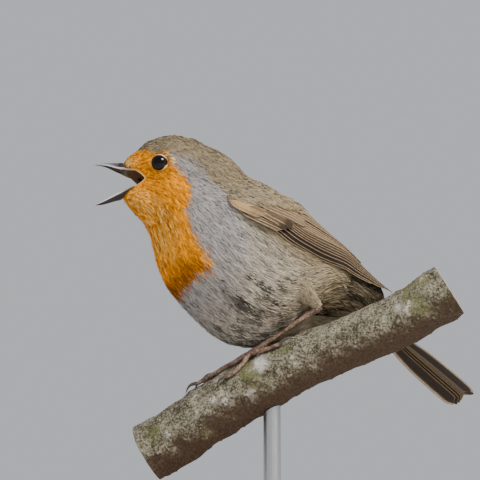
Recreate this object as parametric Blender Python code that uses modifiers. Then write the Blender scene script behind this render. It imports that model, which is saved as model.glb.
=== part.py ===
"""A life-size European robin, singing on a cut length of branch, on a plain display stand.

The row frame has its origin at the middle of the stand's underside, +Z up.
The bird is worked out in its own frame, in millimetres: it faces -X, its left side is -Y, and its
origin lies between its feet.  An empty carries that frame to its height over the stand.
The body is one smooth form, a blend of ellipsoids, parted by thin plane cuts into head, neck,
trunk and rump.  The feathers' outer surface is what is modelled here.
"""
import math

import bmesh
import bpy
import numpy as np

MM = 0.001
GAP = 0.3                      # the space kept between neighbouring pieces

# Stand and perch
FEET_HEIGHT = 92.0             # from the stand's underside up to the bird's origin
ROD_PLACE = (4.0, -3.1)        # the rod and the middle of the base, in the bird's frame
BASE_RADIUS = 48.0
BASE_THICKNESS = 9.0
ROD_RADIUS = 2.75
ROD_TOP = 84.0                 # inside the branch, whose underside then hollows the rod's end
PERCH = (                      # centre line x, y, z and radius of the branch, low end to high end
    (-31.5, 16.8, -32.0, 9.5),
    (-23.2, 12.2, -26.9, 9.4),
    (-11.5, 5.4, -18.5, 9.3),
    (0.1, -1.0, -11.4, 9.2),
    (11.1, -6.9, -5.2, 8.8),
    (22.5, -12.6, -0.2, 8.4),
    (38.6, -20.6, 6.6, 8.5),
    (50.1, -26.9, 13.7, 8.7),
    (54.5, -29.3, 16.6, 8.8),
)
PERCH_SIDES = 20

# Body: name, centre x and z, half length, half height, half breadth, tilt in degrees
BODY = (
    ("skull", -28.4, 58.8, 11.2, 10.2, 9.2, 0),
    ("face", -37.7, 56.2, 6.4, 5.8, 4.8, -35),
    ("lores", -40.3, 53.6, 4.4, 5.4, 3.3, 0),
    ("chin", -37.8, 46.5, 8.6, 4.7, 4.9, -45),
    ("nape", -16.5, 54.6, 13.0, 10.3, 10.8, -32),
    ("throat", -27.5, 44.0, 12.0, 9.3, 11.0, -70),
    ("breast", -13.7, 30.5, 24.6, 18.8, 19.3, -60),
    ("back", -2.0, 33.0, 27.0, 20.0, 19.5, -42),
    ("belly", -2.6, 19.6, 19.0, 18.6, 18.0, -3),
    ("rump", 17.0, 27.5, 21.0, 11.5, 13.5, -40),
    ("coverts", 33.5, 15.0, 15.0, 4.4, 7.5, -41),
)
BLEND = 1.6                    # how softly the ellipsoids run into each other
SECTIONS = (                   # planes across the body: lower x and z, upper x and z, bill to tail
    (-44.5, 46.8, -45.0, 58.0),
    (-42.5, 45.0, -42.5, 61.5),
    (-40.0, 42.5, -39.0, 64.5),
    (-38.0, 39.0, -34.0, 67.6),
    (-36.5, 36.0, -27.0, 68.8),
    (-35.7, 31.5, -18.9, 67.3),
    (-33.5, 26.0, -11.6, 64.0),
    (-29.5, 19.5, -4.6, 58.8),
    (-23.0, 10.9, 3.0, 54.6),
    (-14.0, 4.0, 10.9, 49.6),
    (-3.0, 0.5, 18.0, 42.5),
    (9.0, 2.0, 25.0, 36.0),
    (20.0, 7.0, 31.0, 30.0),
    (28.0, 10.0, 37.0, 23.0),
    (35.0, 8.0, 43.0, 16.0),
    (42.0, 3.0, 48.0, 9.0),
)
BODY_SIDES = 28
HEAD_FRONT = 0.25              # stations on SECTIONS where the body starts, is parted and ends
HEAD_NECK = 5.0
NECK_TRUNK = 6.8
TRUNK_RUMP = 11.8
RUMP_END = 14.5

# Bill: x, tomium z, culmen (or keel) z, half width; behind the last long section it is a thin rim
UPPER_BILL = (
    (-53.7, 57.35, 57.50, 0.12),
    (-52.2, 57.45, 57.95, 0.50),
    (-50.4, 57.35, 58.25, 0.95),
    (-48.4, 56.85, 58.45, 1.45),
    (-46.4, 56.20, 58.58, 2.00),
    (-44.8, 55.90, 58.70, 2.75),
    (-43.8, 55.72, 57.30, 3.55),
    (-42.3, 55.50, 56.60, 4.70),
    (-41.0, 55.25, 56.10, 5.35),
)
LOWER_BILL = (
    (-53.2, 44.35, 44.20, 0.12),
    (-51.5, 45.30, 44.45, 0.65),
    (-50.0, 46.20, 44.85, 1.05),
    (-47.0, 48.00, 45.95, 1.75),
    (-45.0, 49.00, 46.80, 2.50),
    (-44.2, 49.30, 47.80, 3.30),
    (-42.8, 49.95, 48.95, 4.35),
    (-41.6, 50.35, 49.60, 5.10),
)
# The open mouth from the side: a rounded corner that opens forwards to the bill's cutting edges
MOUTH_CORNER = (-38.4, 52.85)
MOUTH_HALF_HEIGHT = 2.55
MOUTH_DEPTH = 2.9              # how far forward of the corner it is open to its full height
MOUTH_FRONT = (-60.0, 42.2, 58.4)      # far in front of the bill: x, lower z, upper z
MOUTH_HALF_WIDTH = 12.0
PALATE_HOLLOW = 0.12

EYE = (-34.0, 6.6, 58.0)      # x, distance from the middle plane, z
EYE_RADIUS = 2.7

# Wing, from wrist to tip: station on SECTIONS, angle from the back's mid line to the lower edge
# and to the upper edge in degrees, height of the outer face over the body
WING = (
    (7.05, 74.0, 60.0, 1.0),
    (7.35, 81.0, 52.0, 1.5),
    (8.0, 81.0, 46.0, 1.9),
    (8.7, 77.0, 40.0, 2.0),
    (9.4, 71.0, 31.0, 1.9),
    (10.1, 64.0, 20.0, 1.7),
    (10.8, 60.0, 12.0, 1.7),
    (11.5, 64.0, 8.0, 2.3),
    (12.2, 70.0, 7.0, 3.1),
    (12.8, 66.0, 7.0, 4.7),
    (13.3, 50.0, 8.0, 6.4),
    (13.75, 26.0, 14.0, 8.4),
)
WING_THICKNESS = 1.25
WING_EDGE = 0.6
WING_EDGE_DROP = 0.5           # how far the wing's edges bend down from its middle

# Tail: root and tip on its middle line, half width at the root and near the tip
TAIL_BASE = (22.7, 25.5)
TAIL_TIP = (69.8, -14.5)
TAIL_START = 28.2              # along the middle line, where the coverts end
TAIL_HALF_WIDTHS = (5.4, 9.3, 11.3, 11.9, 12.0, 11.6)
TAIL_THICKNESSES = (4.4, 2.5, 1.7, 1.4, 1.2, 1.0)
TAIL_NOTCH = 1.3               # how far the outer feathers reach past the middle
TAIL_CORNER = 1.8              # how far the outer corners are rounded back
TAIL_ROLL = 4.0                # degrees, left edge up
TAIL_YAW = 5.0                 # degrees, tip to the left

LEGS = {
    "left": {
        "hip": (7.0, -10.5, 23.0),
        "heel": (17.3, -11.6, 12.6),
        "foot": (3.2, 30.0),        # along the perch from its fourth point, angle from its crown
        "toes": {
            "inner": (-14.5, 5.0, 0.62),
            "middle": (-19.5, 20.0, 0.70),
            "outer": (-9.5, 60.0, 0.66),
            "hind": (9.5, 46.0, 0.70),
        },
    },
    "right": {
        "hip": (6.0, 10.5, 23.0),
        "heel": (15.8, 10.6, 12.6),
        "foot": (-1.0, -22.0),
        "toes": {
            "inner": (-13.5, -8.0, 0.62),
            "middle": (-18.0, -22.0, 0.70),
            "outer": (-12.5, -52.0, 0.66),
            "hind": (8.0, -40.0, 0.70),
        },
    },
}
FOOT_LIFT = 1.25               # the foot's joint over the bark
ANKLE_LENGTH = 1.9             # the foot's own stub towards the tarsus
ANKLE_RADIUS = 1.15
CLAW_LENGTH = 4.6
HIND_CLAW_LENGTH = 5.6
THIGH_RADII = (2.0, 4.4, 5.3, 4.9, 3.6, 2.3, 1.5)
TARSUS_RADII = (1.25, 1.05, 0.78, 0.72, 0.72, 0.78, 0.95, 1.05)

COLOURS = {                    # base colour, roughness, metallic
    "orange_plumage": ((0.62, 0.22, 0.03), 0.9, 0.0),
    "olive_plumage": ((0.24, 0.20, 0.15), 0.9, 0.0),
    "wing_feathers": ((0.17, 0.12, 0.08), 0.75, 0.0),
    "bill_horn": ((0.05, 0.04, 0.035), 0.45, 0.0),
    "eye_gloss": ((0.008, 0.006, 0.005), 0.05, 0.0),
    "leg_skin": ((0.20, 0.11, 0.08), 0.6, 0.0),
    "claw_horn": ((0.06, 0.045, 0.035), 0.4, 0.0),
    "bark": ((0.26, 0.25, 0.19), 0.95, 0.0),
    "stand_wood": ((0.30, 0.19, 0.11), 0.5, 0.0),
    "stand_steel": ((0.55, 0.55, 0.56), 0.35, 1.0),
}


def clear_scene():
    """Remove what a new file holds."""
    for thing in list(bpy.data.objects):
        bpy.data.objects.remove(thing, do_unlink=True)


def make_collection(name):
    """A new collection, linked to the scene."""
    collection = bpy.data.collections.new(name)
    bpy.context.scene.collection.children.link(collection)
    return collection


def finish_material(node_name, finish):
    """A Principled material of the node's own, in one of the finishes above."""
    colour, roughness, metallic = COLOURS[finish]
    material = bpy.data.materials.new(node_name + "_" + finish)
    material.use_nodes = True
    shader = material.node_tree.nodes["Principled BSDF"]
    shader.inputs["Base Color"].default_value = (*colour, 1.0)
    shader.inputs["Roughness"].default_value = roughness
    shader.inputs["Metallic"].default_value = metallic
    material.diffuse_color = (*colour, 1.0)
    return material


def place(mesh, name, finish, parent):
    """Link a mesh as a finished part of the robin."""
    thing = bpy.data.objects.new(name, mesh)
    parts.objects.link(thing)
    thing.parent = parent
    mesh.materials.append(finish_material(name, finish))
    mesh.shade_smooth()
    mesh.set_sharp_from_angle(angle=math.radians(40))
    return thing


def place_cutter(mesh, name, parent):
    """Link a mesh as a hidden cutter."""
    thing = bpy.data.objects.new(name, mesh)
    cutters.objects.link(thing)
    thing.parent = parent
    thing.hide_render = True
    thing.display_type = "WIRE"
    return thing


def boolean(thing, cutter, operation="DIFFERENCE"):
    """Cut a part with a cutter, or join the cutter to it."""
    change = thing.modifiers.new(cutter.name, "BOOLEAN")
    change.operation = operation
    change.solver = "EXACT"
    change.object = cutter


def mesh_from(points, faces, name):
    """A mesh from points in millimetres; its faces are turned to point outwards."""
    mesh = bpy.data.meshes.new(name)
    mesh.from_pydata((np.asarray(points) * MM).tolist(), [], faces)
    shape = bmesh.new()
    shape.from_mesh(mesh)
    bmesh.ops.recalc_face_normals(shape, faces=shape.faces)
    shape.to_mesh(mesh)
    shape.free()
    return mesh


def loft(rings, name):
    """A closed mesh through rings of points (ring, place on the ring, xyz), capped at both ends."""
    count, sides = rings.shape[:2]
    faces = []
    for ring in range(count - 1):
        for side in range(sides):
            after = (side + 1) % sides
            low = ring * sides
            high = low + sides
            faces.append((low + side, low + after, high + after, high + side))
    faces.append(tuple(range(sides)))
    faces.append(tuple(range((count - 1) * sides, count * sides)))
    return mesh_from(rings.reshape(-1, 3), faces, name)


def slab(outer, inner, name):
    """A closed mesh between two faces given as equal grids of points, joined round their rims."""
    rows, columns = outer.shape[:2]
    points = np.concatenate([outer.reshape(-1, 3), inner.reshape(-1, 3)])
    below = rows * columns
    faces = []
    for row in range(rows - 1):
        for column in range(columns - 1):
            a = row * columns + column
            square = (a, a + 1, a + columns + 1, a + columns)
            faces.append(square)
            faces.append(tuple(below + corner for corner in reversed(square)))
    rim = list(range(columns))
    rim += [row * columns + columns - 1 for row in range(1, rows)]
    rim += [(rows - 1) * columns + column for column in range(columns - 2, -1, -1)]
    rim += [row * columns for row in range(rows - 2, 0, -1)]
    for here, after in zip(rim, rim[1:] + rim[:1]):
        faces.append((here, after, below + after, below + here))
    return mesh_from(points, faces, name)


def spline(table, where):
    """Read a table's rows at fractional row numbers, on a Catmull-Rom curve through them."""
    table = np.asarray(table, float)
    where = np.clip(np.asarray(where, float), 0, len(table) - 1)
    row = np.minimum(where.astype(int), len(table) - 2)
    part = (where - row)[..., None]
    padded = np.vstack([2 * table[0] - table[1], table, 2 * table[-1] - table[-2]])
    before, here, after, beyond = (padded[row + step] for step in range(4))
    slope = (after - before) * part
    bend = (2 * before - 5 * here + 4 * after - beyond) * part**2
    turn = (3 * here - before - 3 * after + beyond) * part**3
    return 0.5 * (2 * here + slope + bend + turn)


def body_distance(points):
    """Rough distance from the body's surface, below 0 inside: a soft minimum over the ellipsoids."""
    distances = []
    for _, centre_x, centre_z, length, height, breadth, tilt in BODY:
        cosine = math.cos(math.radians(tilt))
        sine = math.sin(math.radians(tilt))
        x = points[..., 0] - centre_x
        z = points[..., 2] - centre_z
        local = np.stack([x * cosine + z * sine, points[..., 1], z * cosine - x * sine], axis=-1)
        radii = np.array([length, breadth, height])
        scaled = np.linalg.norm(local / radii, axis=-1)
        steep = np.linalg.norm(local / radii**2, axis=-1) + 1e-9
        distances.append(scaled * (scaled - 1) / steep)
    distances = np.array(distances)
    nearest = distances.min(axis=0)
    return nearest - BLEND * np.log(np.exp((nearest - distances) / BLEND).sum(axis=0))


def body_point(station, angle, level, shift=0.0):
    """Points at a height over the body: a ray in the station's plane, turned from the back's mid
    line towards the bird's right, is followed outwards until it reaches that height."""
    station, angle, level = np.broadcast_arrays(
        np.asarray(station, float), np.asarray(angle, float), np.asarray(level, float))
    plane = spline(SECTIONS, station)
    low = np.stack([plane[..., 0], 0 * station, plane[..., 1]], axis=-1)
    high = np.stack([plane[..., 2], 0 * station, plane[..., 3]], axis=-1)
    up = (high - low) / np.linalg.norm(high - low, axis=-1, keepdims=True)
    tailward = np.stack([up[..., 2], 0 * station, -up[..., 0]], axis=-1)
    middle = (low + high) / 2 + shift * tailward
    ray = up * np.cos(angle)[..., None] + np.array([0.0, 1.0, 0.0]) * np.sin(angle)[..., None]
    near = np.zeros(station.shape)
    far = np.full(station.shape, 50.0)
    outside = np.zeros(station.shape, bool)
    step = 0.5
    for reach in np.arange(step, 50.0, step):
        out = body_distance(middle + ray * reach) > level
        first = out & ~outside
        near = np.where(first, reach - step, near)
        far = np.where(first, reach, far)
        outside |= out
    for _ in range(24):
        half = (near + far) / 2
        inside = body_distance(middle + ray * half[..., None]) < level
        near = np.where(inside, half, near)
        far = np.where(inside, far, half)
    return middle + ray * ((near + far) / 2)[..., None]


def body_piece(name, start, end, rings, finish, parent):
    """One length of the body between two stations, with a plane face kept back at each cut."""
    stations = np.linspace(start, end, rings)
    shifts = np.zeros(rings)
    shifts[0] = GAP / 2
    shifts[-1] = -GAP / 2
    angles = np.linspace(0, 2 * math.pi, BODY_SIDES, endpoint=False)
    shape = np.stack([body_point(station, angles, 0.0, shift)
                      for station, shift in zip(stations, shifts)])
    return place(loft(shape, name), name, finish, parent)


def tube_rings(path, radii, sides, flatten=1.0):
    """Rings round a path, each square to it; flatten narrows them in the vertical sense."""
    path = np.asarray(path, float)
    along = np.gradient(path, axis=0)
    along /= np.linalg.norm(along, axis=1, keepdims=True)
    across = np.cross(along, np.array([0.0, 0.0, 1.0]))
    across /= np.linalg.norm(across, axis=1, keepdims=True)
    upward = np.cross(across, along)
    turn = np.linspace(0, 2 * math.pi, sides, endpoint=False)
    circle = (across[:, None] * np.cos(turn)[None, :, None]
              + flatten * upward[:, None] * np.sin(turn)[None, :, None])
    return path[:, None] + np.asarray(radii, float)[:, None, None] * circle


def perch_frame(along):
    """Centre, crownward and sideward directions and radius at a place along the perch in mm.

    Places are counted from the perch's fourth point, and the sideward direction is to the
    bird's left."""
    table = np.asarray(PERCH, float)
    lengths = np.linalg.norm(np.diff(table[:, :3], axis=0), axis=1)
    places = np.concatenate([[0.0], np.cumsum(lengths)])
    places -= places[3]
    rows = np.interp(along, places, np.arange(len(places)))
    here = spline(table, rows)
    step = 0.05
    direction = spline(table, rows + step)[..., :3] - spline(table, rows - step)[..., :3]
    direction /= np.linalg.norm(direction, axis=-1, keepdims=True)
    side = np.cross(direction, np.array([0.0, 0.0, 1.0]))
    side /= np.linalg.norm(side, axis=-1, keepdims=True)
    crown = np.cross(side, direction)
    return here[..., :3], crown, side, here[..., 3]


def over_perch(along, angle, height):
    """A point over the bark: place along the perch, degrees from its crown, height in mm."""
    centre, crown, side, radius = perch_frame(along)
    turn = np.radians(np.asarray(angle, float))[..., None]
    outward = crown * np.cos(turn) + side * np.sin(turn)
    return centre + outward * (radius + height)[..., None]


def build_perch(parent):
    """The branch, and a slightly fatter cutter that frees the rod's end."""
    table = np.asarray(PERCH, float)
    line = spline(table, np.linspace(0, len(table) - 1, 17))
    rings = tube_rings(line[:, :3], line[:, 3], PERCH_SIDES)
    place(loft(rings, "perch"), "perch", "bark", parent)
    fat = tube_rings(line[:, :3], line[:, 3] + GAP, PERCH_SIDES)
    return place_cutter(loft(fat, "perch_clearance"), "perch_clearance", parent)


def build_stand(perch_clearance):
    """A turned base with a rounded rim, and a rod whose top is hollowed to the branch."""
    rim = 1.6
    lower_rim = 0.8
    profile = [(0.0, BASE_THICKNESS)]
    for step in range(4):
        turn = math.radians(90 - 30 * step)
        profile.append((BASE_RADIUS - rim + rim * math.cos(turn),
                        BASE_THICKNESS - rim + rim * math.sin(turn)))
    profile.append((BASE_RADIUS, lower_rim))
    profile.append((BASE_RADIUS - lower_rim, 0.0))
    profile.append((0.0, 0.0))
    mesh = bpy.data.meshes.new("stand_base")
    edges = [(corner, corner + 1) for corner in range(len(profile) - 1)]
    mesh.from_pydata([(x * MM, 0.0, z * MM) for x, z in profile], edges, [])
    base = bpy.data.objects.new("stand_base", mesh)
    parts.objects.link(base)
    mesh.materials.append(finish_material("stand_base", "stand_wood"))
    screw = base.modifiers.new("turned", "SCREW")
    screw.steps = 40
    screw.render_steps = 40
    screw.use_merge_vertices = True
    screw.merge_threshold = 0.00001
    screw.use_smooth_shade = False

    foot = BASE_THICKNESS + GAP
    shape = bmesh.new()
    bmesh.ops.create_cone(shape, cap_ends=True, segments=20, radius1=ROD_RADIUS * MM,
                          radius2=ROD_RADIUS * MM, depth=(ROD_TOP - foot) * MM)
    mesh = bpy.data.meshes.new("stand_rod")
    shape.to_mesh(mesh)
    shape.free()
    rod = place(mesh, "stand_rod", "stand_steel", None)
    rod.location = (0.0, 0.0, (ROD_TOP + foot) / 2 * MM)
    boolean(rod, perch_clearance)


def bill_rings(table, grow=0.0):
    """Rings of a mandible: a flat cutting face, and a rounded ridge or keel on the other side."""
    table = np.asarray(table, float)
    stations = spline(table, np.linspace(0, len(table) - 1, 2 * len(table) - 1))
    sides = 12
    turn = np.linspace(0, 2 * math.pi, sides, endpoint=False)
    ridge = np.where(np.sin(turn) > 0, np.sin(turn), 0.0)
    palate = np.where(np.sin(turn) < 0, np.sin(turn), 0.0)
    x, edge, back, half = stations.T
    outward = np.sign(back - edge)
    wide = half[:, None] + grow
    y = wide * np.cos(turn)[None, :]
    z = (edge[:, None] + (back - edge + grow * outward)[:, None] * ridge[None, :]
         + outward[:, None] * (PALATE_HOLLOW + grow) * palate[None, :])
    x = np.repeat(x[:, None], sides, axis=1)
    x[0] -= grow
    x[-1] += grow
    return np.stack([x, y, z], axis=-1)


def build_bill(parent):
    """Both mandibles, and the clearances that let them into the head."""
    cuts = []
    for name, table in (("upper_bill", UPPER_BILL), ("lower_bill", LOWER_BILL)):
        place(loft(bill_rings(table), name), name, "bill_horn", parent)
        clearance = loft(bill_rings(table, GAP), name + "_clearance")
        cuts.append(place_cutter(clearance, name + "_clearance", parent))
    return cuts


def build_mouth(parent):
    """The open mouth as a cutter: its corner falls back by a power of the height from its middle,
    and from its full height it runs on to far in front of the bill."""
    corner_x, corner_z = MOUTH_CORNER
    front, low, high = MOUTH_FRONT
    outline = [(front, low)]
    for share in np.linspace(-1, 1, 9):
        outline.append((corner_x - MOUTH_DEPTH * abs(share)**1.4,
                        corner_z + MOUTH_HALF_HEIGHT * share))
    outline.append((front, high))
    rings = np.array([[(x, side * MOUTH_HALF_WIDTH, z) for x, z in outline] for side in (-1, 1)])
    return place_cutter(loft(rings, "mouth"), "mouth", parent)


def eye_mesh(name, radius):
    """A ball for an eye or its socket."""
    shape = bmesh.new()
    bmesh.ops.create_uvsphere(shape, u_segments=16, v_segments=10, radius=radius * MM)
    mesh = bpy.data.meshes.new(name)
    shape.to_mesh(mesh)
    shape.free()
    return mesh


def build_eyes(parent):
    """The eyes, and the sockets that let them into the head."""
    cuts = []
    for name, side in (("left", -1), ("right", 1)):
        centre = (EYE[0] * MM, side * EYE[1] * MM, EYE[2] * MM)
        eye = place(eye_mesh("eye_" + name, EYE_RADIUS), "eye_" + name, "eye_gloss", parent)
        eye.location = centre
        socket = place_cutter(eye_mesh("socket_" + name, EYE_RADIUS + GAP), "socket_" + name, parent)
        socket.location = centre
        cuts.append(socket)
    return cuts


def build_wing(name, side, parent):
    """A folded wing: a shell that lies over the body and rises from it towards its tip."""
    rows = 20
    columns = 8
    stations = spline(WING, np.linspace(0, len(WING) - 1, rows))
    across = np.linspace(0, 1, columns)
    lower = np.radians(stations[:, 1])[:, None]
    upper = np.radians(stations[:, 2])[:, None]
    angle = side * (lower + (upper - lower) * across)
    bulge = np.sin(math.pi * across)[None, :] ** 0.5
    ends = np.sin(math.pi * np.linspace(0.06, 0.94, rows))[:, None] ** 0.5
    thickness = WING_EDGE + (WING_THICKNESS - WING_EDGE) * bulge * ends
    station = np.repeat(stations[:, :1], columns, axis=1)
    least = thickness + GAP + 0.05
    level = np.maximum(stations[:, 3:4] - WING_EDGE_DROP * (1 - bulge), least)
    outer = body_point(station, angle, level)
    inner = body_point(station, angle, level - thickness)
    place(slab(outer, inner, name), name, "wing_feathers", parent)


def build_tail(parent):
    """The closed tail as a thin arched slab, widening to a shallow notch."""
    base = np.array([TAIL_BASE[0], 0.0, TAIL_BASE[1]])
    tip = np.array([TAIL_TIP[0], 0.0, TAIL_TIP[1]])
    length = np.linalg.norm(tip - base)
    along = (tip - base) / length
    upward = np.array([-along[2], 0.0, along[0]])
    roll = math.radians(TAIL_ROLL)
    side = np.array([0.0, 1.0, 0.0]) * math.cos(roll) - upward * math.sin(roll)
    top = np.cross(side, -along)
    yaw = math.radians(TAIL_YAW)
    along, side = (along * math.cos(yaw) - side * math.sin(yaw),
                   side * math.cos(yaw) + along * math.sin(yaw))
    rows = 12
    columns = 11
    run = np.linspace(0, 1, rows)
    last = len(TAIL_HALF_WIDTHS) - 1
    half = spline(np.array(TAIL_HALF_WIDTHS)[:, None], run * last)
    thick = spline(np.array(TAIL_THICKNESSES)[:, None], run * last)
    across = np.linspace(-1, 1, columns)[None, :]
    tips = TAIL_NOTCH * (across**2 - 1) - TAIL_CORNER * np.abs(across)**7
    reach = TAIL_START + (length - TAIL_START) * run[:, None] + tips * run[:, None]**3
    arch = -0.9 * across**2
    edge = 0.35 + 0.65 * np.sqrt(1 - across**2 * 0.98)
    spine = base + reach[..., None] * along + (half * across)[..., None] * side
    outer = spine + (arch + thick / 2 * edge)[..., None] * top
    inner = spine + (arch - thick / 2 * edge)[..., None] * top
    place(slab(outer, inner, "tail"), "tail", "wing_feathers", parent)


def thigh_path(leg):
    """The feathered thigh's middle line from hip to heel."""
    hip = np.array(leg["hip"])
    heel = np.array(leg["heel"])
    run = np.linspace(0, 1, len(THIGH_RADII))[:, None]
    return hip + (heel - hip) * run


def toe_path(foot, toe, grow=0.0):
    """A toe's middle line: from the foot's joint down to the bark and along it to the claw."""
    along, angle = foot
    reach, end_angle, radius = toe
    run = np.linspace(0, 1, 8)
    ease = np.minimum(run / 0.4, 1.0)
    height = FOOT_LIFT + (radius + GAP - FOOT_LIFT) * ease * ease * (3 - 2 * ease)
    spread = 1 - (1 - run)**2
    line = over_perch(along + reach * run, angle + (end_angle - angle) * spread, height)
    radii = radius * (1.12 - 0.30 * run) + grow
    return line, radii


def claw_rings(foot, toe, length):
    """A claw: from just past the toe's tip it arches up, then down to a point over the bark."""
    along, angle = foot
    reach, end_angle, radius = toe
    direction = math.copysign(1.0, reach)
    run = np.linspace(0, 1, 5)
    start = along + reach + direction * GAP
    height = (radius + GAP) * (1 - run) + 0.4 * run + 1.1 * np.sin(math.pi * run)
    line = over_perch(start + direction * length * run, end_angle + 0 * run, height)
    radii = radius * 0.78 * (1 - run)**0.75 + 0.1
    return tube_rings(line, radii, 6)


def build_leg(side_name, parent):
    """Thigh, tarsus, foot with its four toes joined to it, and four claws."""
    leg = LEGS[side_name]
    line = thigh_path(leg)
    thigh = place(loft(tube_rings(line, THIGH_RADII, 12), "thigh_" + side_name),
                  "thigh_" + side_name, "olive_plumage", parent)
    wide = [radius + GAP for radius in THIGH_RADII]
    longer = line.copy()
    longer[0] += (line[0] - line[1]) * 0.2
    longer[-1] += (line[-1] - line[-2]) * 0.3
    clearance = loft(tube_rings(longer, wide, 12), "thigh_clearance_" + side_name)
    thigh_clearance = place_cutter(clearance, "thigh_clearance_" + side_name, parent)

    joint = over_perch(*[np.array([value]) for value in (*leg["foot"], FOOT_LIFT)])[0]
    heel = np.array(leg["heel"])
    rise = (heel - joint) / np.linalg.norm(heel - joint)
    low = joint + rise * (ANKLE_LENGTH + GAP)
    high = heel - rise * (GAP + 0.5)
    run = np.linspace(0, 1, len(TARSUS_RADII))[:, None]
    tarsus_rings = tube_rings(high + (low - high) * run, TARSUS_RADII, 10)
    tarsus = place(loft(tarsus_rings, "tarsus_" + side_name), "tarsus_" + side_name,
                   "leg_skin", parent)
    wide = [radius + GAP for radius in TARSUS_RADII]
    fat = tube_rings(heel + (low - heel) * run, wide, 10)
    name = "tarsus_clearance_" + side_name
    tarsus_clearance = place_cutter(loft(fat, name), name, parent)
    boolean(thigh, tarsus_clearance)

    foot_name = "foot_" + side_name
    stub = joint + rise * np.linspace(-0.4, ANKLE_LENGTH, 4)[:, None]
    stub_radii = ANKLE_RADIUS * np.array([0.7, 1.0, 1.0, 0.85])
    foot = place(loft(tube_rings(stub, stub_radii, 10), foot_name), foot_name, "leg_skin", parent)
    for toe_name, toe in leg["toes"].items():
        path, radii = toe_path(leg["foot"], toe)
        mesh = loft(tube_rings(path, radii, 6), foot_name + "_" + toe_name)
        boolean(foot, place_cutter(mesh, mesh.name, parent), "UNION")
        length = HIND_CLAW_LENGTH if toe_name == "hind" else CLAW_LENGTH
        claw_name = "claw_" + side_name + "_" + toe_name
        place(loft(claw_rings(leg["foot"], toe, length), claw_name), claw_name, "claw_horn", parent)
    path, radii = toe_path(leg["foot"], leg["toes"]["hind"], GAP)
    clearance = loft(tube_rings(path, radii, 6), "hind_clearance_" + side_name)
    boolean(tarsus, place_cutter(clearance, clearance.name, parent))
    return thigh_clearance, tarsus_clearance


clear_scene()
parts = make_collection("robin")
cutters = make_collection("robin_cutters")
bird = bpy.data.objects.new("bird_frame", None)
parts.objects.link(bird)
bird.location = (-ROD_PLACE[0] * MM, -ROD_PLACE[1] * MM, FEET_HEIGHT * MM)

head = body_piece("head", HEAD_FRONT, HEAD_NECK, 13, "orange_plumage", bird)
body_piece("neck", HEAD_NECK, NECK_TRUNK, 5, "olive_plumage", bird)
trunk = body_piece("trunk", NECK_TRUNK, TRUNK_RUMP, 12, "olive_plumage", bird)
body_piece("rump", TRUNK_RUMP, RUMP_END, 7, "olive_plumage", bird)
for cut in [build_mouth(bird)] + build_bill(bird) + build_eyes(bird):
    boolean(head, cut)
build_wing("wing_left", -1, bird)
build_wing("wing_right", 1, bird)
build_tail(bird)
for cut in build_leg("left", bird) + build_leg("right", bird):
    boolean(trunk, cut)
build_stand(build_perch(bird))
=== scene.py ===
# %% [markdown]
# # A robin, singing on a cut branch, as a museum shows it
# The real thing is a still, life-size model of a European robin on a short length of branch, held by
# a rod on a turned wooden base.  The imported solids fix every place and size; here they get their
# looks: one skin under a coat of barbs, separate flight feathers, a horny bill, wet eyes, scaly legs,
# bark, wood and steel.  Each shape is worked out with numpy as a surface of two parameters.

# %% Load the frame
import math

import bmesh
import bpy
import numpy as np
from mathutils import Matrix, Vector


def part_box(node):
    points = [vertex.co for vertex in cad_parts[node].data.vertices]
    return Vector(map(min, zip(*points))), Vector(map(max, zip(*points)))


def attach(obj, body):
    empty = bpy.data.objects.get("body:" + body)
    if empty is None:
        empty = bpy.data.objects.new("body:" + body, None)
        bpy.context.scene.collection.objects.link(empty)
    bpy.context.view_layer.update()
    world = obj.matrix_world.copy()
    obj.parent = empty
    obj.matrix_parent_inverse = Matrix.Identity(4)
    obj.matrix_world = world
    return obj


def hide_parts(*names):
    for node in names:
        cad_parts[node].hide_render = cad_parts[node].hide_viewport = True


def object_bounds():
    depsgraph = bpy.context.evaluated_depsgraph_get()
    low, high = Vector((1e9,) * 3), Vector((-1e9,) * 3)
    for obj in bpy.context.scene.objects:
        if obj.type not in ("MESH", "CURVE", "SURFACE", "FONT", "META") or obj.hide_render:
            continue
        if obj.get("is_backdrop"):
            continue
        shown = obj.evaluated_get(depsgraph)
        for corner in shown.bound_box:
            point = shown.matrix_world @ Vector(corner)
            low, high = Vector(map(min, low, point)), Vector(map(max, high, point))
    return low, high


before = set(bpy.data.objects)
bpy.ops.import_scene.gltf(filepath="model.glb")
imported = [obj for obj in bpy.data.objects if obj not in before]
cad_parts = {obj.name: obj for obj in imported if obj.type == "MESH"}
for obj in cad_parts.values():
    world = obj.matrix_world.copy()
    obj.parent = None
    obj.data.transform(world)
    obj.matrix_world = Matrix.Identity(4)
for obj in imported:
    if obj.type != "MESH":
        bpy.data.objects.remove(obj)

cad_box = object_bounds()
print("solids:", len(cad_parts), "nodes, box", [round(value * 1000, 1) for value in cad_box[1]])

# %% [markdown]
# ## Where the bird is
# A bird's shapes are easiest to write in its own frame, in millimetres: it faces -X, its left side is
# -Y and its feet are near the origin.  The eyes are small round solids, so the middle of the left
# one's box says where that frame lies over the stand.

# %% The bird's own frame
MM = 0.001
EYE = np.array([-34.0, 6.6, 58.0])     # forwards, away from the middle plane, up
EYE_RADIUS = 2.7
MIRROR = {"left": -1.0, "right": 1.0}
eye_low, eye_high = (np.array(corner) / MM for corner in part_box("eye_left"))
BIRD = (eye_low + eye_high) / 2 - EYE * (1.0, MIRROR["left"], 1.0)
print("the bird's origin over the stand, mm:", BIRD.round(2))

# %% [markdown]
# ## Shader sums written as Python
# A shader is a net of small sums.  Wiring them by hand is slow to read, so one class wraps an output
# socket and overloads the operators: numbers go through Math nodes, vectors through Vector Math and
# colours through Mix.  Every other node comes from one method, `node`.

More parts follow.
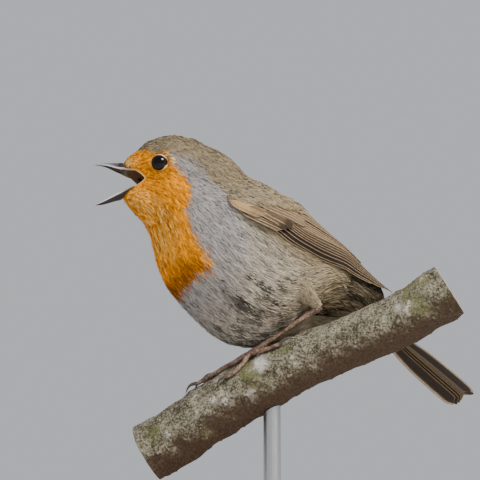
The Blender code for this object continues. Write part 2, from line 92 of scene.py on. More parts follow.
# %% A socket that can be added, multiplied and mixed
class Wire:
    """An output socket of a shader node, used like a number, a vector or a colour."""

    def __init__(self, tree, socket):
        self.tree = tree
        self.socket = socket

    def node(self, kind, settings=(), values=(), out=0):
        """Add a node: its settings first, then the values or links of its sockets."""
        made = self.tree.nodes.new(kind)
        for name, value in dict(settings).items():
            if name == "stops":
                while len(made.color_ramp.elements) < len(value):
                    made.color_ramp.elements.new(0.5)
                for stop, (place, colour) in zip(made.color_ramp.elements, value):
                    stop.position = place
                    stop.color = (*colour, 1.0)
            else:
                setattr(made, name, value)
        for name, value in dict(values).items():
            if isinstance(value, Wire):
                self.tree.links.new(value.socket, made.inputs[name])
            else:
                made.inputs[name].default_value = value
        return Wire(self.tree, made.outputs[out])

    def sum(self, operation, first, second=0.0):
        """One step of arithmetic, in the kind of node that suits what goes in."""
        kinds = [value.socket.type for value in (first, second) if isinstance(value, Wire)]
        if "RGBA" in kinds:
            first, second = (value if isinstance(value, (Wire, tuple)) else (value,) * 3 + (1.0,)
                             for value in (first, second))
            return self.node("ShaderNodeMix", {"data_type": "RGBA", "blend_type": operation},
                             {0: 1.0, 6: first, 7: second}, 2)
        if "VECTOR" in kinds:
            first, second = (value if isinstance(value, (Wire, tuple)) else (value,) * 3
                             for value in (first, second))
            return self.node("ShaderNodeVectorMath", {"operation": operation}, {0: first, 1: second})
        return self.node("ShaderNodeMath", {"operation": operation}, {0: first, 1: second})

    def __add__(self, other):
        return self.sum("ADD", self, other)

    def __sub__(self, other):
        return self.sum("SUBTRACT", self, other)

    def __mul__(self, other):
        return self.sum("MULTIPLY", self, other)

    def __pow__(self, other):
        return self.sum("POWER", self, other)

    def __rsub__(self, other):
        return self.sum("SUBTRACT", other, self)

    __radd__ = __add__
    __rmul__ = __mul__

    def ramp(self, low, high):
        """0 below low, 1 above high, and a soft rise between."""
        return self.node("ShaderNodeMapRange", {"interpolation_type": "SMOOTHSTEP"},
                         {"Value": self, "From Min": low, "From Max": high})

    def mix(self, first, second):
        """A colour that goes from the first to the second as this number goes from 0 to 1."""
        first, second = (value if isinstance(value, Wire) else (*value, 1.0)
                         for value in (first, second))
        return self.node("ShaderNodeMix", {"data_type": "RGBA"}, {0: self, 6: first, 7: second}, 2)

    def noise(self, scale, detail=2.0, roughness=0.5):
        """Soft noise read at this place, from 0 to 1."""
        return self.node("ShaderNodeTexNoise", {},
                         {"Vector": self, "Scale": scale, "Detail": detail, "Roughness": roughness})

    def size(self):
        """This number without its sign."""
        return self.sum("ABSOLUTE", self)

    def wave(self):
        """A sine wave of this number, from 0 to 1."""
        return self.sum("SINE", self) * 0.5 + 0.5

    def stretched(self, scale):
        """This place with its axes scaled: a pattern read there is drawn out along a small one."""
        return self.node("ShaderNodeMapping", {}, {"Vector": self, "Scale": scale})

    def cells(self, scale, feature="F1"):
        """Uneven cells: how far this place is from a cell's middle, or from its edge."""
        return self.node("ShaderNodeTexVoronoi", {"feature": feature}, {"Vector": self, "Scale": scale})

    def parts(self):
        """The three numbers in this vector or colour."""
        split = self.node("ShaderNodeSeparateXYZ", {}, {0: self}).socket.node
        return [Wire(self.tree, output) for output in split.outputs]

# %% A material and its sockets
class Finish:
    """A material: its shader, the places to read patterns at, and its sockets."""

    def __init__(self, name, roughness=0.6, **steady):
        self.material = bpy.data.materials.new(name)
        self.material.use_nodes = True
        self.tree = self.material.node_tree
        self.shader = self.tree.nodes["Principled BSDF"]
        self.shader.inputs["Roughness"].default_value = roughness
        for socket, value in steady.items():
            self.shader.inputs[socket.replace("_", " ")].default_value = value
        self.start = Wire(self.tree, None)
        self.place = self.start.node("ShaderNodeTexCoord", out=3)

    def attribute(self, name, out=0):
        """A value stored on the mesh: output 0 is its colour, 2 a number and 3 its fourth part."""
        return self.start.node("ShaderNodeAttribute", {"attribute_name": name}, {}, out)

    def uv(self, name):
        """The two numbers of the piece's own map."""
        return self.start.node("ShaderNodeUVMap", {"uv_map": name}).parts()

    def feed(self, socket, wire):
        """Link a changing value to one of the shader's sockets."""
        self.tree.links.new(wire.socket, self.shader.inputs[socket])
        return self

    def bump(self, height, depth, strength=1.0):
        """Raise the surface by a height from 0 to 1, times a depth in metres."""
        raised = height.node("ShaderNodeBump", {},
                             {"Strength": strength, "Distance": depth, "Height": height})
        return self.feed("Normal", raised)


# %% [markdown]
# ## From arrays to pieces
# Thousands of barbs would take minutes through Blender's edit tools.  Whole arrays of points and
# faces go in with `foreach_set` in one call each, and every piece is then named, shaded smooth, given
# its finish and tied to the frame in the same few lines.

# %% Make a piece from arrays
def turns(count):
    """Angles spread evenly round a full turn."""
    return np.linspace(0, 2 * math.pi, count, endpoint=False)


def grid_faces(rows, columns, closed=False, flip=False):
    """Squares between the points of a grid; closed joins the last column to the first."""
    row, column = np.mgrid[0:rows - 1, 0:columns - (0 if closed else 1)]
    after = (column + 1) % columns
    corners = [row * columns + column, row * columns + after,
               (row + 1) * columns + after, (row + 1) * columns + column]
    faces = np.stack(corners, axis=-1).reshape(-1, 4)
    return faces[:, ::-1] if flip else faces


def fill_mesh(name, points, face_sets):
    """A mesh from points in metres and arrays of faces, each array with its own corner count."""
    mesh = bpy.data.meshes.new(name)
    corners = np.concatenate([faces.ravel() for faces in face_sets]).astype(np.int32)
    sizes = np.concatenate([np.full(len(faces), faces.shape[1]) for faces in face_sets])
    starts = np.concatenate([[0], np.cumsum(sizes)[:-1]]).astype(np.int32)
    mesh.vertices.add(len(points))
    mesh.vertices.foreach_set("co", np.asarray(points, np.float32).ravel())
    mesh.loops.add(len(corners))
    mesh.loops.foreach_set("vertex_index", corners)
    mesh.polygons.add(len(sizes))
    mesh.polygons.foreach_set("loop_start", starts)
    mesh.update(calc_edges=True)
    mesh.polygons.foreach_set("use_smooth", np.ones(len(sizes), bool))
    return mesh

# %% Maps, values and pieces
def at_corners(mesh, values):
    """Each point's values, repeated at every face corner that stands on it."""
    corner = np.zeros(len(mesh.loops), np.int32)
    mesh.loops.foreach_get("vertex_index", corner)
    return np.asarray(values, np.float32)[corner].ravel()


def add_map(mesh, name, places):
    """A UV map from one place for each point."""
    mesh.uv_layers.new(name=name).uv.foreach_set("vector", at_corners(mesh, places))


def add_values(mesh, name, values):
    """Four numbers for each point, kept as a colour attribute that a shader can read."""
    layer = mesh.attributes.new(name, "FLOAT_COLOR", "POINT")
    layer.data.foreach_set("color", np.asarray(values, np.float32).ravel())


def show(name, data):
    """Put a mesh, a lamp or a camera into the scene."""
    thing = bpy.data.objects.new(name, data)
    bpy.context.scene.collection.objects.link(thing)
    return thing


def add_piece(name, mesh, finish, stands_for=()):
    """Show a mesh as a piece of the model: its finish and the solids it stands for."""
    thing = show(name, mesh)
    mesh.materials.append(finish.material)
    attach(thing, "root")
    if stands_for:
        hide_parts(*stands_for)
    print(f"{name}: {len(mesh.polygons)} faces")
    return thing


def in_row(points):
    """Points of the bird's frame in mm, as places of the row frame in metres."""
    return (np.asarray(points) + BIRD) * MM


# %% [markdown]
# ## Floor, light and camera
# A museum bench: a plain pale floor, an even pale surround that is strongest level with the bird,
# one soft lamp high in front on the right and a weak wide one low on the left that leaves no
# highlight.  The bird is looked at from its left side and from a little below its perch, so the
# camera stands just over the floor and looks up.

# %% Set the stage
CAMERA_AZIMUTH = math.radians(-15.0)
CAMERA_RISE = math.radians(-13.0)
CAMERA_DISTANCE = 500.0
VIEW_WIDTH = 153.6                     # what the view spans at the bird, in mm
SENSOR = 36.0
VIEW_ASIDE = -5.44                     # the view's middle: along the camera's right, and its up
VIEW_UP = 35.2
FLOOR_RADIUS = 1.5                     # in metres
FLOOR_RINGS = 12
FLOOR_SIDES = 96

camera_right = np.array([math.cos(CAMERA_AZIMUTH), math.sin(CAMERA_AZIMUTH), 0.0])
camera_back = np.array([math.sin(CAMERA_AZIMUTH) * math.cos(CAMERA_RISE),
                        -math.cos(CAMERA_AZIMUTH) * math.cos(CAMERA_RISE),
                        math.sin(CAMERA_RISE)])
camera_up = np.cross(camera_back, camera_right)
target = camera_right * VIEW_ASIDE + camera_up * VIEW_UP


def make_camera():
    """The camera, turned to the view's middle."""
    data = bpy.data.cameras.new("camera")
    data.sensor_width = SENSOR
    data.lens = SENSOR * CAMERA_DISTANCE / VIEW_WIDTH
    data.clip_start = 0.01
    thing = show("camera", data)
    turned = np.eye(4)
    turned[:3, 0] = camera_right
    turned[:3, 1] = camera_up
    turned[:3, 2] = camera_back
    turned[:3, 3] = in_row(target + camera_back * CAMERA_DISTANCE)
    thing.matrix_world = Matrix(turned.tolist())
    bpy.context.scene.camera = thing
    print("camera height over the floor, mm:", round(turned[2, 3] / MM, 1))


def make_lamp(name, direction, distance, size, power, colour, mirrored=True):
    """A square soft lamp that faces the middle of the model from a direction; one that is not
    mirrored leaves no highlight."""
    data = bpy.data.lights.new(name, "AREA")
    data.size = size
    data.energy = power
    data.color = colour
    thing = show(name, data)
    middle = (cad_box[0] + cad_box[1]) / 2
    toward = Vector(direction).normalized()
    thing.location = middle + toward * distance
    thing.rotation_euler = toward.to_track_quat("Z", "Y").to_euler()
    thing.visible_glossy = mirrored


def make_floor():
    """A round floor, a fan of rings, so large that its rim is never near."""
    rings = np.linspace(0.0, FLOOR_RADIUS, FLOOR_RINGS)[:, None]
    turn = turns(FLOOR_SIDES)[None, :]
    points = np.stack([rings * np.cos(turn), rings * np.sin(turn), 0 * rings * turn], axis=-1)
    mesh = fill_mesh("floor", points.reshape(-1, 3),
                     [grid_faces(FLOOR_RINGS, FLOOR_SIDES, closed=True)])
    finish = Finish("floor_paper", 0.8)
    grain = finish.place.noise(40.0, 4.0)
    finish.feed("Base Color", grain.mix((0.58, 0.58, 0.57), (0.64, 0.64, 0.63)))
    mesh.materials.append(finish.material)
    show("floor", mesh)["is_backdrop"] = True


def make_surround():
    """Pale light all round: strongest near the level of the bird, weaker over it and below."""
    world = bpy.data.worlds.new("surround")
    bpy.context.scene.world = world
    world.use_nodes = True
    background = world.node_tree.nodes["Background"]
    background.inputs["Color"].default_value = (0.80, 0.83, 0.88, 1.0)
    up = Wire(world.node_tree, None).node("ShaderNodeTexCoord").parts()[2]
    strength = up.ramp(-0.2, 0.06) * 0.42 + 0.22 - up.ramp(0.35, 0.9) * 0.20
    world.node_tree.links.new(strength.socket, background.inputs["Strength"])


make_camera()
make_floor()
make_surround()
make_lamp("key", (0.36, -0.60, 0.72), 1.6, 0.55, 46.0, (1.0, 0.965, 0.91))
make_lamp("fill", (-1.0, -0.45, 0.15), 1.4, 1.0, 7.0, (0.93, 0.96, 1.0), mirrored=False)

# %% [markdown]
# ## The body as a soft blend of ellipsoids
# A bird's body has no edges: skull, throat, breast and rump run into each other under the feathers.
# Eleven ellipsoids joined by a soft minimum give such a form from a few sizes.  A place on it is told
# by a station, counted from bill to tail over planes across the body, and by an angle from the back's
# middle line.  The same numbers shaped the solids, so skin and coat take their form.

# %% The body's form
BODY = (                       # centre x and z, half length, half height, half breadth, tilt
    (-28.4, 58.8, 11.2, 10.2, 9.2, 0),         # skull
    (-37.7, 56.2, 6.4, 5.8, 4.8, -35),         # face
    (-40.3, 53.6, 4.4, 5.4, 3.3, 0),           # lores
    (-37.8, 46.5, 8.6, 4.7, 4.9, -45),         # chin
    (-16.5, 54.6, 13.0, 10.3, 10.8, -32),      # nape
    (-27.5, 44.0, 12.0, 9.3, 11.0, -70),       # throat
    (-13.7, 30.5, 24.6, 18.8, 19.3, -60),      # breast
    (-2.0, 33.0, 27.0, 20.0, 19.5, -42),       # back
    (-2.6, 19.6, 19.0, 18.6, 18.0, -3),        # belly
    (17.0, 27.5, 21.0, 11.5, 13.5, -40),       # rump
    (33.5, 15.0, 15.0, 4.4, 7.5, -41),         # tail coverts
)
BLEND = 1.6
SECTIONS = (                   # planes across the body, bill to tail: lower x and z, upper x and z
    (-44.5, 46.8, -45.0, 58.0), (-42.5, 45.0, -42.5, 61.5), (-40.0, 42.5, -39.0, 64.5),
    (-38.0, 39.0, -34.0, 67.6), (-36.5, 36.0, -27.0, 68.8), (-35.7, 31.5, -18.9, 67.3),
    (-33.5, 26.0, -11.6, 64.0), (-29.5, 19.5, -4.6, 58.8), (-23.0, 10.9, 3.0, 54.6),
    (-14.0, 4.0, 10.9, 49.6), (-3.0, 0.5, 18.0, 42.5), (9.0, 2.0, 25.0, 36.0),
    (20.0, 7.0, 31.0, 30.0), (28.0, 10.0, 37.0, 23.0), (35.0, 8.0, 43.0, 16.0),
    (42.0, 3.0, 48.0, 9.0),
)
BODY_START = 0.25
BODY_END = 14.5
FARTHEST = 40.0                # no surface is further than this from a section's middle
HALVINGS = 18                  # how often a found millimetre is halved


def spline(table, where):
    """Rows of a table at fractional row numbers, on a Catmull-Rom curve through them."""
    table = np.asarray(table, float)
    where = np.clip(np.asarray(where, float), 0, len(table) - 1)
    row = np.minimum(where.astype(int), len(table) - 2)
    part = (where - row)[..., None]
    padded = np.vstack([2 * table[0] - table[1], table, 2 * table[-1] - table[-2]])
    before, here, after, beyond = (padded[row + step] for step in range(4))
    slope = (after - before) * part
    bend = (2 * before - 5 * here + 4 * after - beyond) * part**2
    turn = (3 * here - before - 3 * after + beyond) * part**3
    return 0.5 * (2 * here + slope + bend + turn)


def listed(table, where):
    """Values beside the rising first column of a table, read between its rows."""
    table = np.asarray(table, float)
    return [np.interp(where, table[:, 0], column) for column in table[:, 1:].T]


def body_distance(points):
    """Rough distance over the body: each ellipsoid's own, joined by a soft minimum."""
    distances = []
    for centre_x, centre_z, length, height, breadth, tilt in BODY:
        cosine = math.cos(math.radians(tilt))
        sine = math.sin(math.radians(tilt))
        x = points[..., 0] - centre_x
        z = points[..., 2] - centre_z
        local = np.stack([x * cosine + z * sine, points[..., 1], z * cosine - x * sine], axis=-1)
        radii = np.array([length, breadth, height])
        scaled = np.linalg.norm(local / radii, axis=-1)
        steep = np.linalg.norm(local / radii**2, axis=-1) + 1e-9
        distances.append(scaled * (scaled - 1) / steep)
    distances = np.array(distances)
    nearest = distances.min(axis=0)
    return nearest - BLEND * np.log(np.exp((nearest - distances) / BLEND).sum(axis=0))


def follow_out(middle, ray, level):
    """Where rays from inside the body first reach a height over it: long steps, then halving."""
    near = np.zeros(ray.shape[:-1])
    far = np.full(ray.shape[:-1], FARTHEST)
    outside = np.zeros(ray.shape[:-1], bool)
    for reach in np.arange(1.0, FARTHEST, 1.0):
        out = body_distance(middle + ray * reach) > level
        first = out & ~outside
        near = np.where(first, reach - 1.0, near)
        far = np.where(first, reach, far)
        outside |= out
    for _ in range(HALVINGS):
        half = (near + far) / 2
        inside = body_distance(middle + ray * half[..., None]) < level
        near = np.where(inside, half, near)
        far = np.where(inside, far, half)
    return middle + ray * ((near + far) / 2)[..., None]


def body_point(station, angle, level):
    """Points over the body: a ray in the station's plane, turned from the back's middle line
    towards the bird's right, followed out to that height."""
    station, angle, level = np.broadcast_arrays(*(np.asarray(value, float)
                                                  for value in (station, angle, level)))
    plane = spline(SECTIONS, station)
    low = np.stack([plane[..., 0], 0 * station, plane[..., 1]], axis=-1)
    high = np.stack([plane[..., 2], 0 * station, plane[..., 3]], axis=-1)
    up = (high - low) / np.linalg.norm(high - low, axis=-1, keepdims=True)
    ray = up * np.cos(angle)[..., None] + np.array([0.0, 1.0, 0.0]) * np.sin(angle)[..., None]
    return follow_out((low + high) / 2, ray, level)


def breadth_at(x, z, level=0.0):
    """How far the body's surface is from the middle plane, at places on that plane."""
    middle = np.stack([x, 0 * x, z], axis=-1)
    ray = np.broadcast_to(np.array([0.0, 1.0, 0.0]), middle.shape)
    return follow_out(middle, ray, level)[..., 1]


# %% [markdown]
# ## A surface that can be read anywhere
# Hundreds of thousands of barbs need their place on the body.  Following a ray for each would be
# slow, so the surface is worked out once on a grid and read between its points.  The grid also keeps
# the outward direction and how many millimetres one step of each parameter covers.

# %% Read a surface between its grid points
class Sheet:
    """A surface known on a grid of two parameters, with its outward direction and its stretch."""

    def __init__(self, first, second, points, outward):
        self.first = first
        self.second = second
        along = np.gradient(points, first, axis=0)
        across = np.gradient(points, second, axis=1)
        normal = np.cross(along, across) * outward
        normal /= np.linalg.norm(normal, axis=-1, keepdims=True) + 1e-9
        stretch = [np.linalg.norm(step, axis=-1, keepdims=True) for step in (along, across)]
        self.fields = np.concatenate([points, normal, *stretch], axis=-1)

    def read(self, first, second):
        """All fields at places between the grid's points, by two-way linear steps."""
        row = (first - self.first[0]) / (self.first[1] - self.first[0])
        column = (second - self.second[0]) / (self.second[1] - self.second[0])
        row = np.clip(row, 0, len(self.first) - 1.001)
        column = np.clip(column, 0, len(self.second) - 1.001)
        low_row = row.astype(int)
        low_column = column.astype(int)
        up = (row - low_row)[..., None]
        aside = (column - low_column)[..., None]
        lower = (self.fields[low_row, low_column] * (1 - aside)
                 + self.fields[low_row, low_column + 1] * aside)
        upper = (self.fields[low_row + 1, low_column] * (1 - aside)
                 + self.fields[low_row + 1, low_column + 1] * aside)
        return lower * (1 - up) + upper * up

    def point(self, first, second, level):
        """Points at a height over the surface."""
        fields = self.read(first, second)
        return fields[..., :3] + fields[..., 3:6] * np.asarray(level)[..., None]

    def stretch(self, first, second):
        """Millimetres for one step of each parameter."""
        fields = self.read(first, second)
        return fields[..., 6], fields[..., 7]


# %% [markdown]
# ### A fuller crown
# A robin's forehead is steep and the back of its crown is full.  The blend alone leaves both a
# little hollow, so bell curves raise them, and the finished surface is stored on a grid.

# %% Fill out the crown and store the surface
FULLER = (                     # middle station, half length, height in mm
    (2.30, 0.45, 0.62), (4.70, 0.28, 0.66),
)
BODY_GRID = (215, 181)         # stations and angles of the stored surface


def fullness(station, angle):
    """How far the forehead and the back of the crown stand out over the blend: bell curves along
    the body, which fade down its sides by the fourth power of the angle's cosine."""
    along = sum(high * np.exp(-((station - middle) / half)**2) for middle, half, high in FULLER)
    return along * np.maximum(np.cos(angle), 0)**4


table_stations = np.linspace(BODY_START, BODY_END, BODY_GRID[0])
table_angles = np.linspace(-math.pi, math.pi, BODY_GRID[1])
table_grid = np.meshgrid(table_stations, table_angles, indexing="ij")
body = Sheet(table_stations, table_angles, body_point(*table_grid, fullness(*table_grid)), 1)
head_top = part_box("head")[1][2] / MM - BIRD[2]
back_line = body.fields[:, BODY_GRID[1] // 2]
print("crown by formula and by the solid, mm:", round(back_line[:, 2].max(), 2), round(head_top, 2))

# %% [markdown]
# ## Markings
# The robin's pattern is told in the body's own places: the orange face and bib, the blue-grey border
# round it, the olive-brown crown and back, the buff flanks and the pale belly.  Each edge is a short
# list of stations and angles.  A lock of barbs takes the mark that lies half-way along it, give or
# take a little, so that edges come out ragged, as they do on a bird.

# %% Where each colour lies
ORANGE_EDGE = (                # station, degrees from the back's middle line
    (0.25, -8), (1.3, -3), (1.75, 13), (2.2, 31), (2.6, 39), (3.0, 44), (3.4, 47), (3.75, 53),
    (3.95, 62), (4.5, 65), (4.95, 68), (5.4, 77), (5.55, 95), (5.65, 112), (5.85, 118),
    (6.25, 120), (7.0, 124), (7.5, 126), (8.0, 127),
)
BIB_END = (                    # degrees, the station where the bib ends
    (120, 7.75), (130, 7.70), (138, 7.64), (151, 7.52), (164, 7.38), (180, 7.62),
)
SLATE_EDGE = (
    (2.6, 60), (3.1, 54), (3.7, 50), (4.25, 47), (4.8, 44), (5.5, 50), (6.5, 60), (7.2, 72), (8.0, 88),
    (8.7, 110), (9.3, 135), (10.0, 170),
)
DORSAL_EDGE = (
    (1.5, 30), (3.0, 49), (4.2, 53), (5.5, 57), (6.6, 66), (7.6, 74), (9.0, 78), (11.0, 74),
    (12.5, 76), (14.5, 80),
)
FLANK = (                      # station, how buff the side is, how buff the middle of the belly is
    (8.0, 0.0, 0.0), (9.5, 0.25, 0.0), (10.6, 0.55, 0.1), (11.4, 0.9, 0.4), (12.2, 1.0, 0.8),
    (14.5, 0.8, 0.7),
)

# %% Marks at any place
def soft_step(value, low, high):
    """0 below low, 1 above high, and a smooth rise between."""
    part = np.clip((value - low) / (high - low), 0, 1)
    return part * part * (3 - 2 * part)


def marks_at(station, angle):
    """Shares of orange, slate, dorsal brown and flank buff at places on the body."""
    degrees = np.degrees(np.abs((angle + math.pi) % (2 * math.pi) - math.pi))
    orange_edge, = listed(ORANGE_EDGE, station)
    slate_edge, = listed(SLATE_EDGE, station)
    dorsal_edge, = listed(DORSAL_EDGE, station)
    side, middle = listed(FLANK, station)
    bib_end, = listed(BIB_END, degrees)
    orange = soft_step(degrees - orange_edge, -3, 3) * (1 - soft_step(station - bib_end, -0.1, 0.1))
    slate = soft_step(degrees - slate_edge, -6, 6) * (1 - soft_step(station, 7.6, 9.2))
    slate *= soft_step(station, 2.5, 3.4)
    dorsal = 1 - soft_step(degrees - dorsal_edge, -6, 6)
    flank = side + (middle - side) * soft_step(degrees, 120, 160)
    return np.stack([orange, slate, dorsal, flank], axis=-1)


# %% [markdown]
# ### The plumage's finish
# One material serves skin and coat.  It reads the four marks and each lock's own values, which are
# stored on the mesh, so that the colours stay on their feathers wherever a lock bends.

# %% Plumage
ORANGE = (0.86, 0.325, 0.001)
ORANGE_DEEP = (0.48, 0.145, 0.001)
SLATE = (0.30, 0.275, 0.265)
OLIVE = (0.235, 0.185, 0.118)
WHITE = (0.34, 0.305, 0.25)
BUFF = (0.30, 0.225, 0.13)
DOWN_GREY = (0.055, 0.050, 0.045)
CREAM = (0.92, 0.63, 0.20)
DARKEST = 0.12                 # no barb keeps less than this share of its colour


def plumage(name):
    """The body's colour from the marks: each share lays its colour over the last.  Noise makes
    feathers differ; a lock's own tone, which also carries painted shade, makes it dark or pale, its
    barbs differ again, and each barb is darker at its root, as painted shade between the locks, and
    pale at its tip."""
    finish = Finish(name, 0.9, Specular_IOR_Level=0.03)
    orange, slate, dorsal = finish.attribute("marks").parts()
    flank = finish.attribute("marks", 3)
    run, lock, barb = finish.attribute("barbs").parts()
    cream = finish.attribute("barbs", 3)
    broad = finish.place.noise(120.0, 3.0)
    fine = finish.place.noise(900.0, 2.0)
    pale = flank.mix(WHITE, BUFF)
    # Dark locks, the painted shade among them, mix towards the grey down.
    pale = ((1 - lock).ramp(0.60, 0.95) * 0.8).mix(pale, DOWN_GREY)
    colour = dorsal.mix(pale, OLIVE)
    colour = slate.mix(colour, SLATE)
    # Darker locks and the broad noise turn the orange deep; the painted shade low on the breast does so
    # too.
    warm = (broad * 0.7 + (1 - lock) * 0.6).ramp(0.35, 1.0)
    colour = orange.mix(colour, warm.mix(ORANGE, ORANGE_DEEP))
    colour = cream.mix(colour, CREAM)
    shade = barb.ramp(0.80, 0.92) * 0.90
    # run darkens each barb towards its root: painted shade between the locks; lock brings the painted shade
    # of lock_tones.
    light = run * 0.60 + lock * 0.64 + barb * 0.62 + fine * 0.28 - shade
    finish.feed("Base Color", colour * light.sum("MAXIMUM", light, DARKEST))
    return finish


# %% [markdown]
# ## One skin
# Under the feathers a bird is bare skin, and all its flesh is one surface.  It could be sculpted, but
# the form is already a formula: the body's grid is set back by the depth of the coat, thin on the
# face and deep on the belly, and closed by a dome at each end.  The feathered thighs are tubes joined
# to it, and the open mouth is cut out of it, so that no seam is left.  Tubes serve for legs, toes and
# branch too, so they get a general helper.

# %% Tubes along a path, and uneven heights
def stirred(places, wave, seed, count=14):
    """Smooth uneven heights from -1 to 1: a mean of sine waves in many directions and phases."""
    rng = np.random.default_rng(seed)
    directions = rng.normal(size=(count, places.shape[-1]))
    directions /= np.linalg.norm(directions, axis=1, keepdims=True)
    lengths = wave * rng.uniform(0.7, 1.5, count)
    phases = rng.uniform(0, 2 * math.pi, count)
    total = np.zeros(places.shape[:-1])
    for direction, length, phase in zip(directions, lengths, phases):
        total += np.sin(places @ direction * (2 * math.pi / length) + phase)
    return total / math.sqrt(count)


def tube_points(path, radii, sides, flat=1.0, out=None):
    """Rings round a path, square to it: centre + radius * (across * cos + upward * sin), where
    flat narrows the upward part and out, if given, is roughly where upward points."""
    path = np.asarray(path, float)
    along = np.gradient(path, axis=0)
    along /= np.linalg.norm(along, axis=1, keepdims=True)
    guide = np.array([0.0, 0.0, 1.0]) if out is None else np.asarray(out, float)
    across = np.cross(along, guide)
    across /= np.linalg.norm(across, axis=1, keepdims=True)
    upward = np.cross(across, along)
    turn = turns(sides)
    circle = (across[:, None] * np.cos(turn)[None, :, None]
              + flat * upward[:, None] * np.sin(turn)[None, :, None])
    radii = np.asarray(radii, float)
    radii = radii if radii.ndim == 2 else np.broadcast_to(radii, (len(path),))[:, None]
    return path[:, None] + radii[..., None] * circle


def taper(run, radii):
    """Radii told at even places from 0 to 1, read at other places."""
    return np.interp(run, np.linspace(0, 1, len(radii)), radii)


def closed_faces(rings, sides):
    """Faces of rings joined end to end, with a fan onto one more point at each end: the first
    pole is the point after all rings, and the last pole the one after it."""
    squares = grid_faces(rings, sides, closed=True)
    side = np.arange(sides)
    after = (side + 1) % sides
    pole = rings * sides
    first = np.stack([np.full(sides, pole), after, side], axis=-1)
    top = (rings - 1) * sides
    last = np.stack([np.full(sides, pole + 1), top + side, top + after], axis=-1)
    return [squares, np.concatenate([first, last])]


def closed_tube(rings, first_pole=None, last_pole=None):
    """Points and faces of a tube closed onto a pole at each end; a pole left out is the middle
    of its ring."""
    first_pole = rings[0].mean(axis=0) if first_pole is None else first_pole
    last_pole = rings[-1].mean(axis=0) if last_pole is None else last_pole
    points = np.concatenate([rings.reshape(-1, 3), [first_pole, last_pole]])
    return points, closed_faces(*rings.shape[:2])


def turned_out(mesh, merge=0.0):
    """Turn a closed mesh's faces outwards, so that whoever made it need not mind its direction.
    Points that are closer than merge, in metres, become one first."""
    shape = bmesh.new()
    shape.from_mesh(mesh)
    if merge:
        bmesh.ops.remove_doubles(shape, verts=shape.verts, dist=merge)
    bmesh.ops.recalc_face_normals(shape, faces=shape.faces)
    shape.to_mesh(mesh)
    shape.free()
    return mesh


def closed_mesh(name, points, faces):
    """A closed mesh from points in the bird's frame."""
    return turned_out(fill_mesh(name, in_row(points), faces))


# %% The skin's surface
SKIN_DEPTH = (                 # station, how deep the skin lies under the coat's outside
    (0.25, 0.35), (2.0, 0.5), (4.0, 0.75), (6.0, 1.1), (8.0, 1.4), (12.0, 1.3), (14.5, 0.9),
)
SKIN_GRID = (220, 200)         # rings, and points round each
EYE_BOWL = 2.2                 # how deep the skin dips under the eye
EYE_BOWL_RADIUS = 2.75
FRONT_DOME = ((-1.0, 0.0, 0.0), 1.0)           # which way each end's dome points, and how deep it is
BACK_DOME = ((0.75, 0.0, -0.66), 2.5)


def dome(ring, forward, depth, steps=5):
    """Rings that close an end: the last ring drawn in by a cosine and pushed out by a sine."""
    middle = ring.mean(axis=0)
    reach = np.array(forward) * depth
    turn = np.linspace(0, math.pi / 2, steps + 2)[1:-1, None, None]
    return middle + (ring - middle) * np.cos(turn) + reach * np.sin(turn), middle + reach


def skin_mesh():
    """The body's grid set back by the coat's depth, with a dome before and behind."""
    stations, angles = np.meshgrid(np.linspace(BODY_START, BODY_END, SKIN_GRID[0]),
                                   turns(SKIN_GRID[1]) - math.pi, indexing="ij")
    depth, = listed(SKIN_DEPTH, stations)
    fold = 0.05 * np.sin(9 * angles + 5 * stations) * soft_step(stations, 3, 6)
    outside = body.point(stations, angles, 0 * angles)
    from_eye = np.hypot(outside[..., 0] - EYE[0], outside[..., 2] - EYE[2])
    bowl = EYE_BOWL * (1 - soft_step(from_eye, EYE_BOWL_RADIUS - 1.0, EYE_BOWL_RADIUS))
    rings = body.point(stations, angles, fold - depth - bowl)
    front, front_pole = dome(rings[0], *FRONT_DOME)
    back, back_pole = dome(rings[-1], *BACK_DOME)
    marks = marks_at(stations, angles)
    marks = np.concatenate([np.repeat(marks[:1], len(front), 0), marks,
                            np.repeat(marks[-1:], len(back), 0)])
    points, faces = closed_tube(np.concatenate([front[::-1], rings, back]), front_pole, back_pole)
    marks = np.concatenate([marks.reshape(-1, 4), marks[0, :1], marks[-1, :1]])
    return points, faces, marks


skin_points, skin_faces, skin_marks = skin_mesh()
print("skin before its cuts:", sum(len(faces) for faces in skin_faces), "faces")

# %% [markdown]
# ### Thighs joined on
# A Boolean joins closed forms exactly, and it can hand on the cutting form's finish to the cut.  The
# marks are kept on the face corners, since those are what it carries across.

# %% Join and cut
# The skin between the locks takes the barbs' root darkness: painted shade.
SHADED_ROOT = (0.25, 0.5, 0.5, 0.0)            # the skin is as dark as the barbs near their roots
THIGH_MARKS = (0.0, 0.0, 0.0, 0.6)
THIGHS = {                     # hip and heel
    "left": ((7.0, -10.5, 23.0), (17.3, -11.6, 12.6)),
    "right": ((6.0, 10.5, 23.0), (15.8, 10.6, 12.6)),
}
THIGH_RADII = (1.2, 3.4, 4.2, 3.8, 2.7, 1.6, 1.0)


def corner_marks(mesh, marks):
    """Keep the marks and one shaded tone on the face corners."""
    shaded = np.tile(SHADED_ROOT, (len(marks), 1))
    for name, values in (("marks", marks), ("barbs", shaded)):
        layer = mesh.attributes.new(name, "FLOAT_COLOR", "CORNER")
        layer.data.foreach_set("color", at_corners(mesh, values))


def thigh_rings(side, steps, sides):
    """A tube from hip to heel, as wide as the thigh's feathers."""
    hip, heel = (np.array(end) for end in THIGHS[side])
    run = np.linspace(0, 1, steps)
    return tube_points(hip + (heel - hip) * run[:, None], taper(run, THIGH_RADII), sides)


def thigh_tool(side):
    """The thigh's closed form, with its marks."""
    points, faces = closed_tube(thigh_rings(side, 25, 32))
    mesh = closed_mesh("thigh", points, faces)
    corner_marks(mesh, np.tile(THIGH_MARKS, (len(points), 1)))
    return show("thigh_" + side + "_form", mesh)


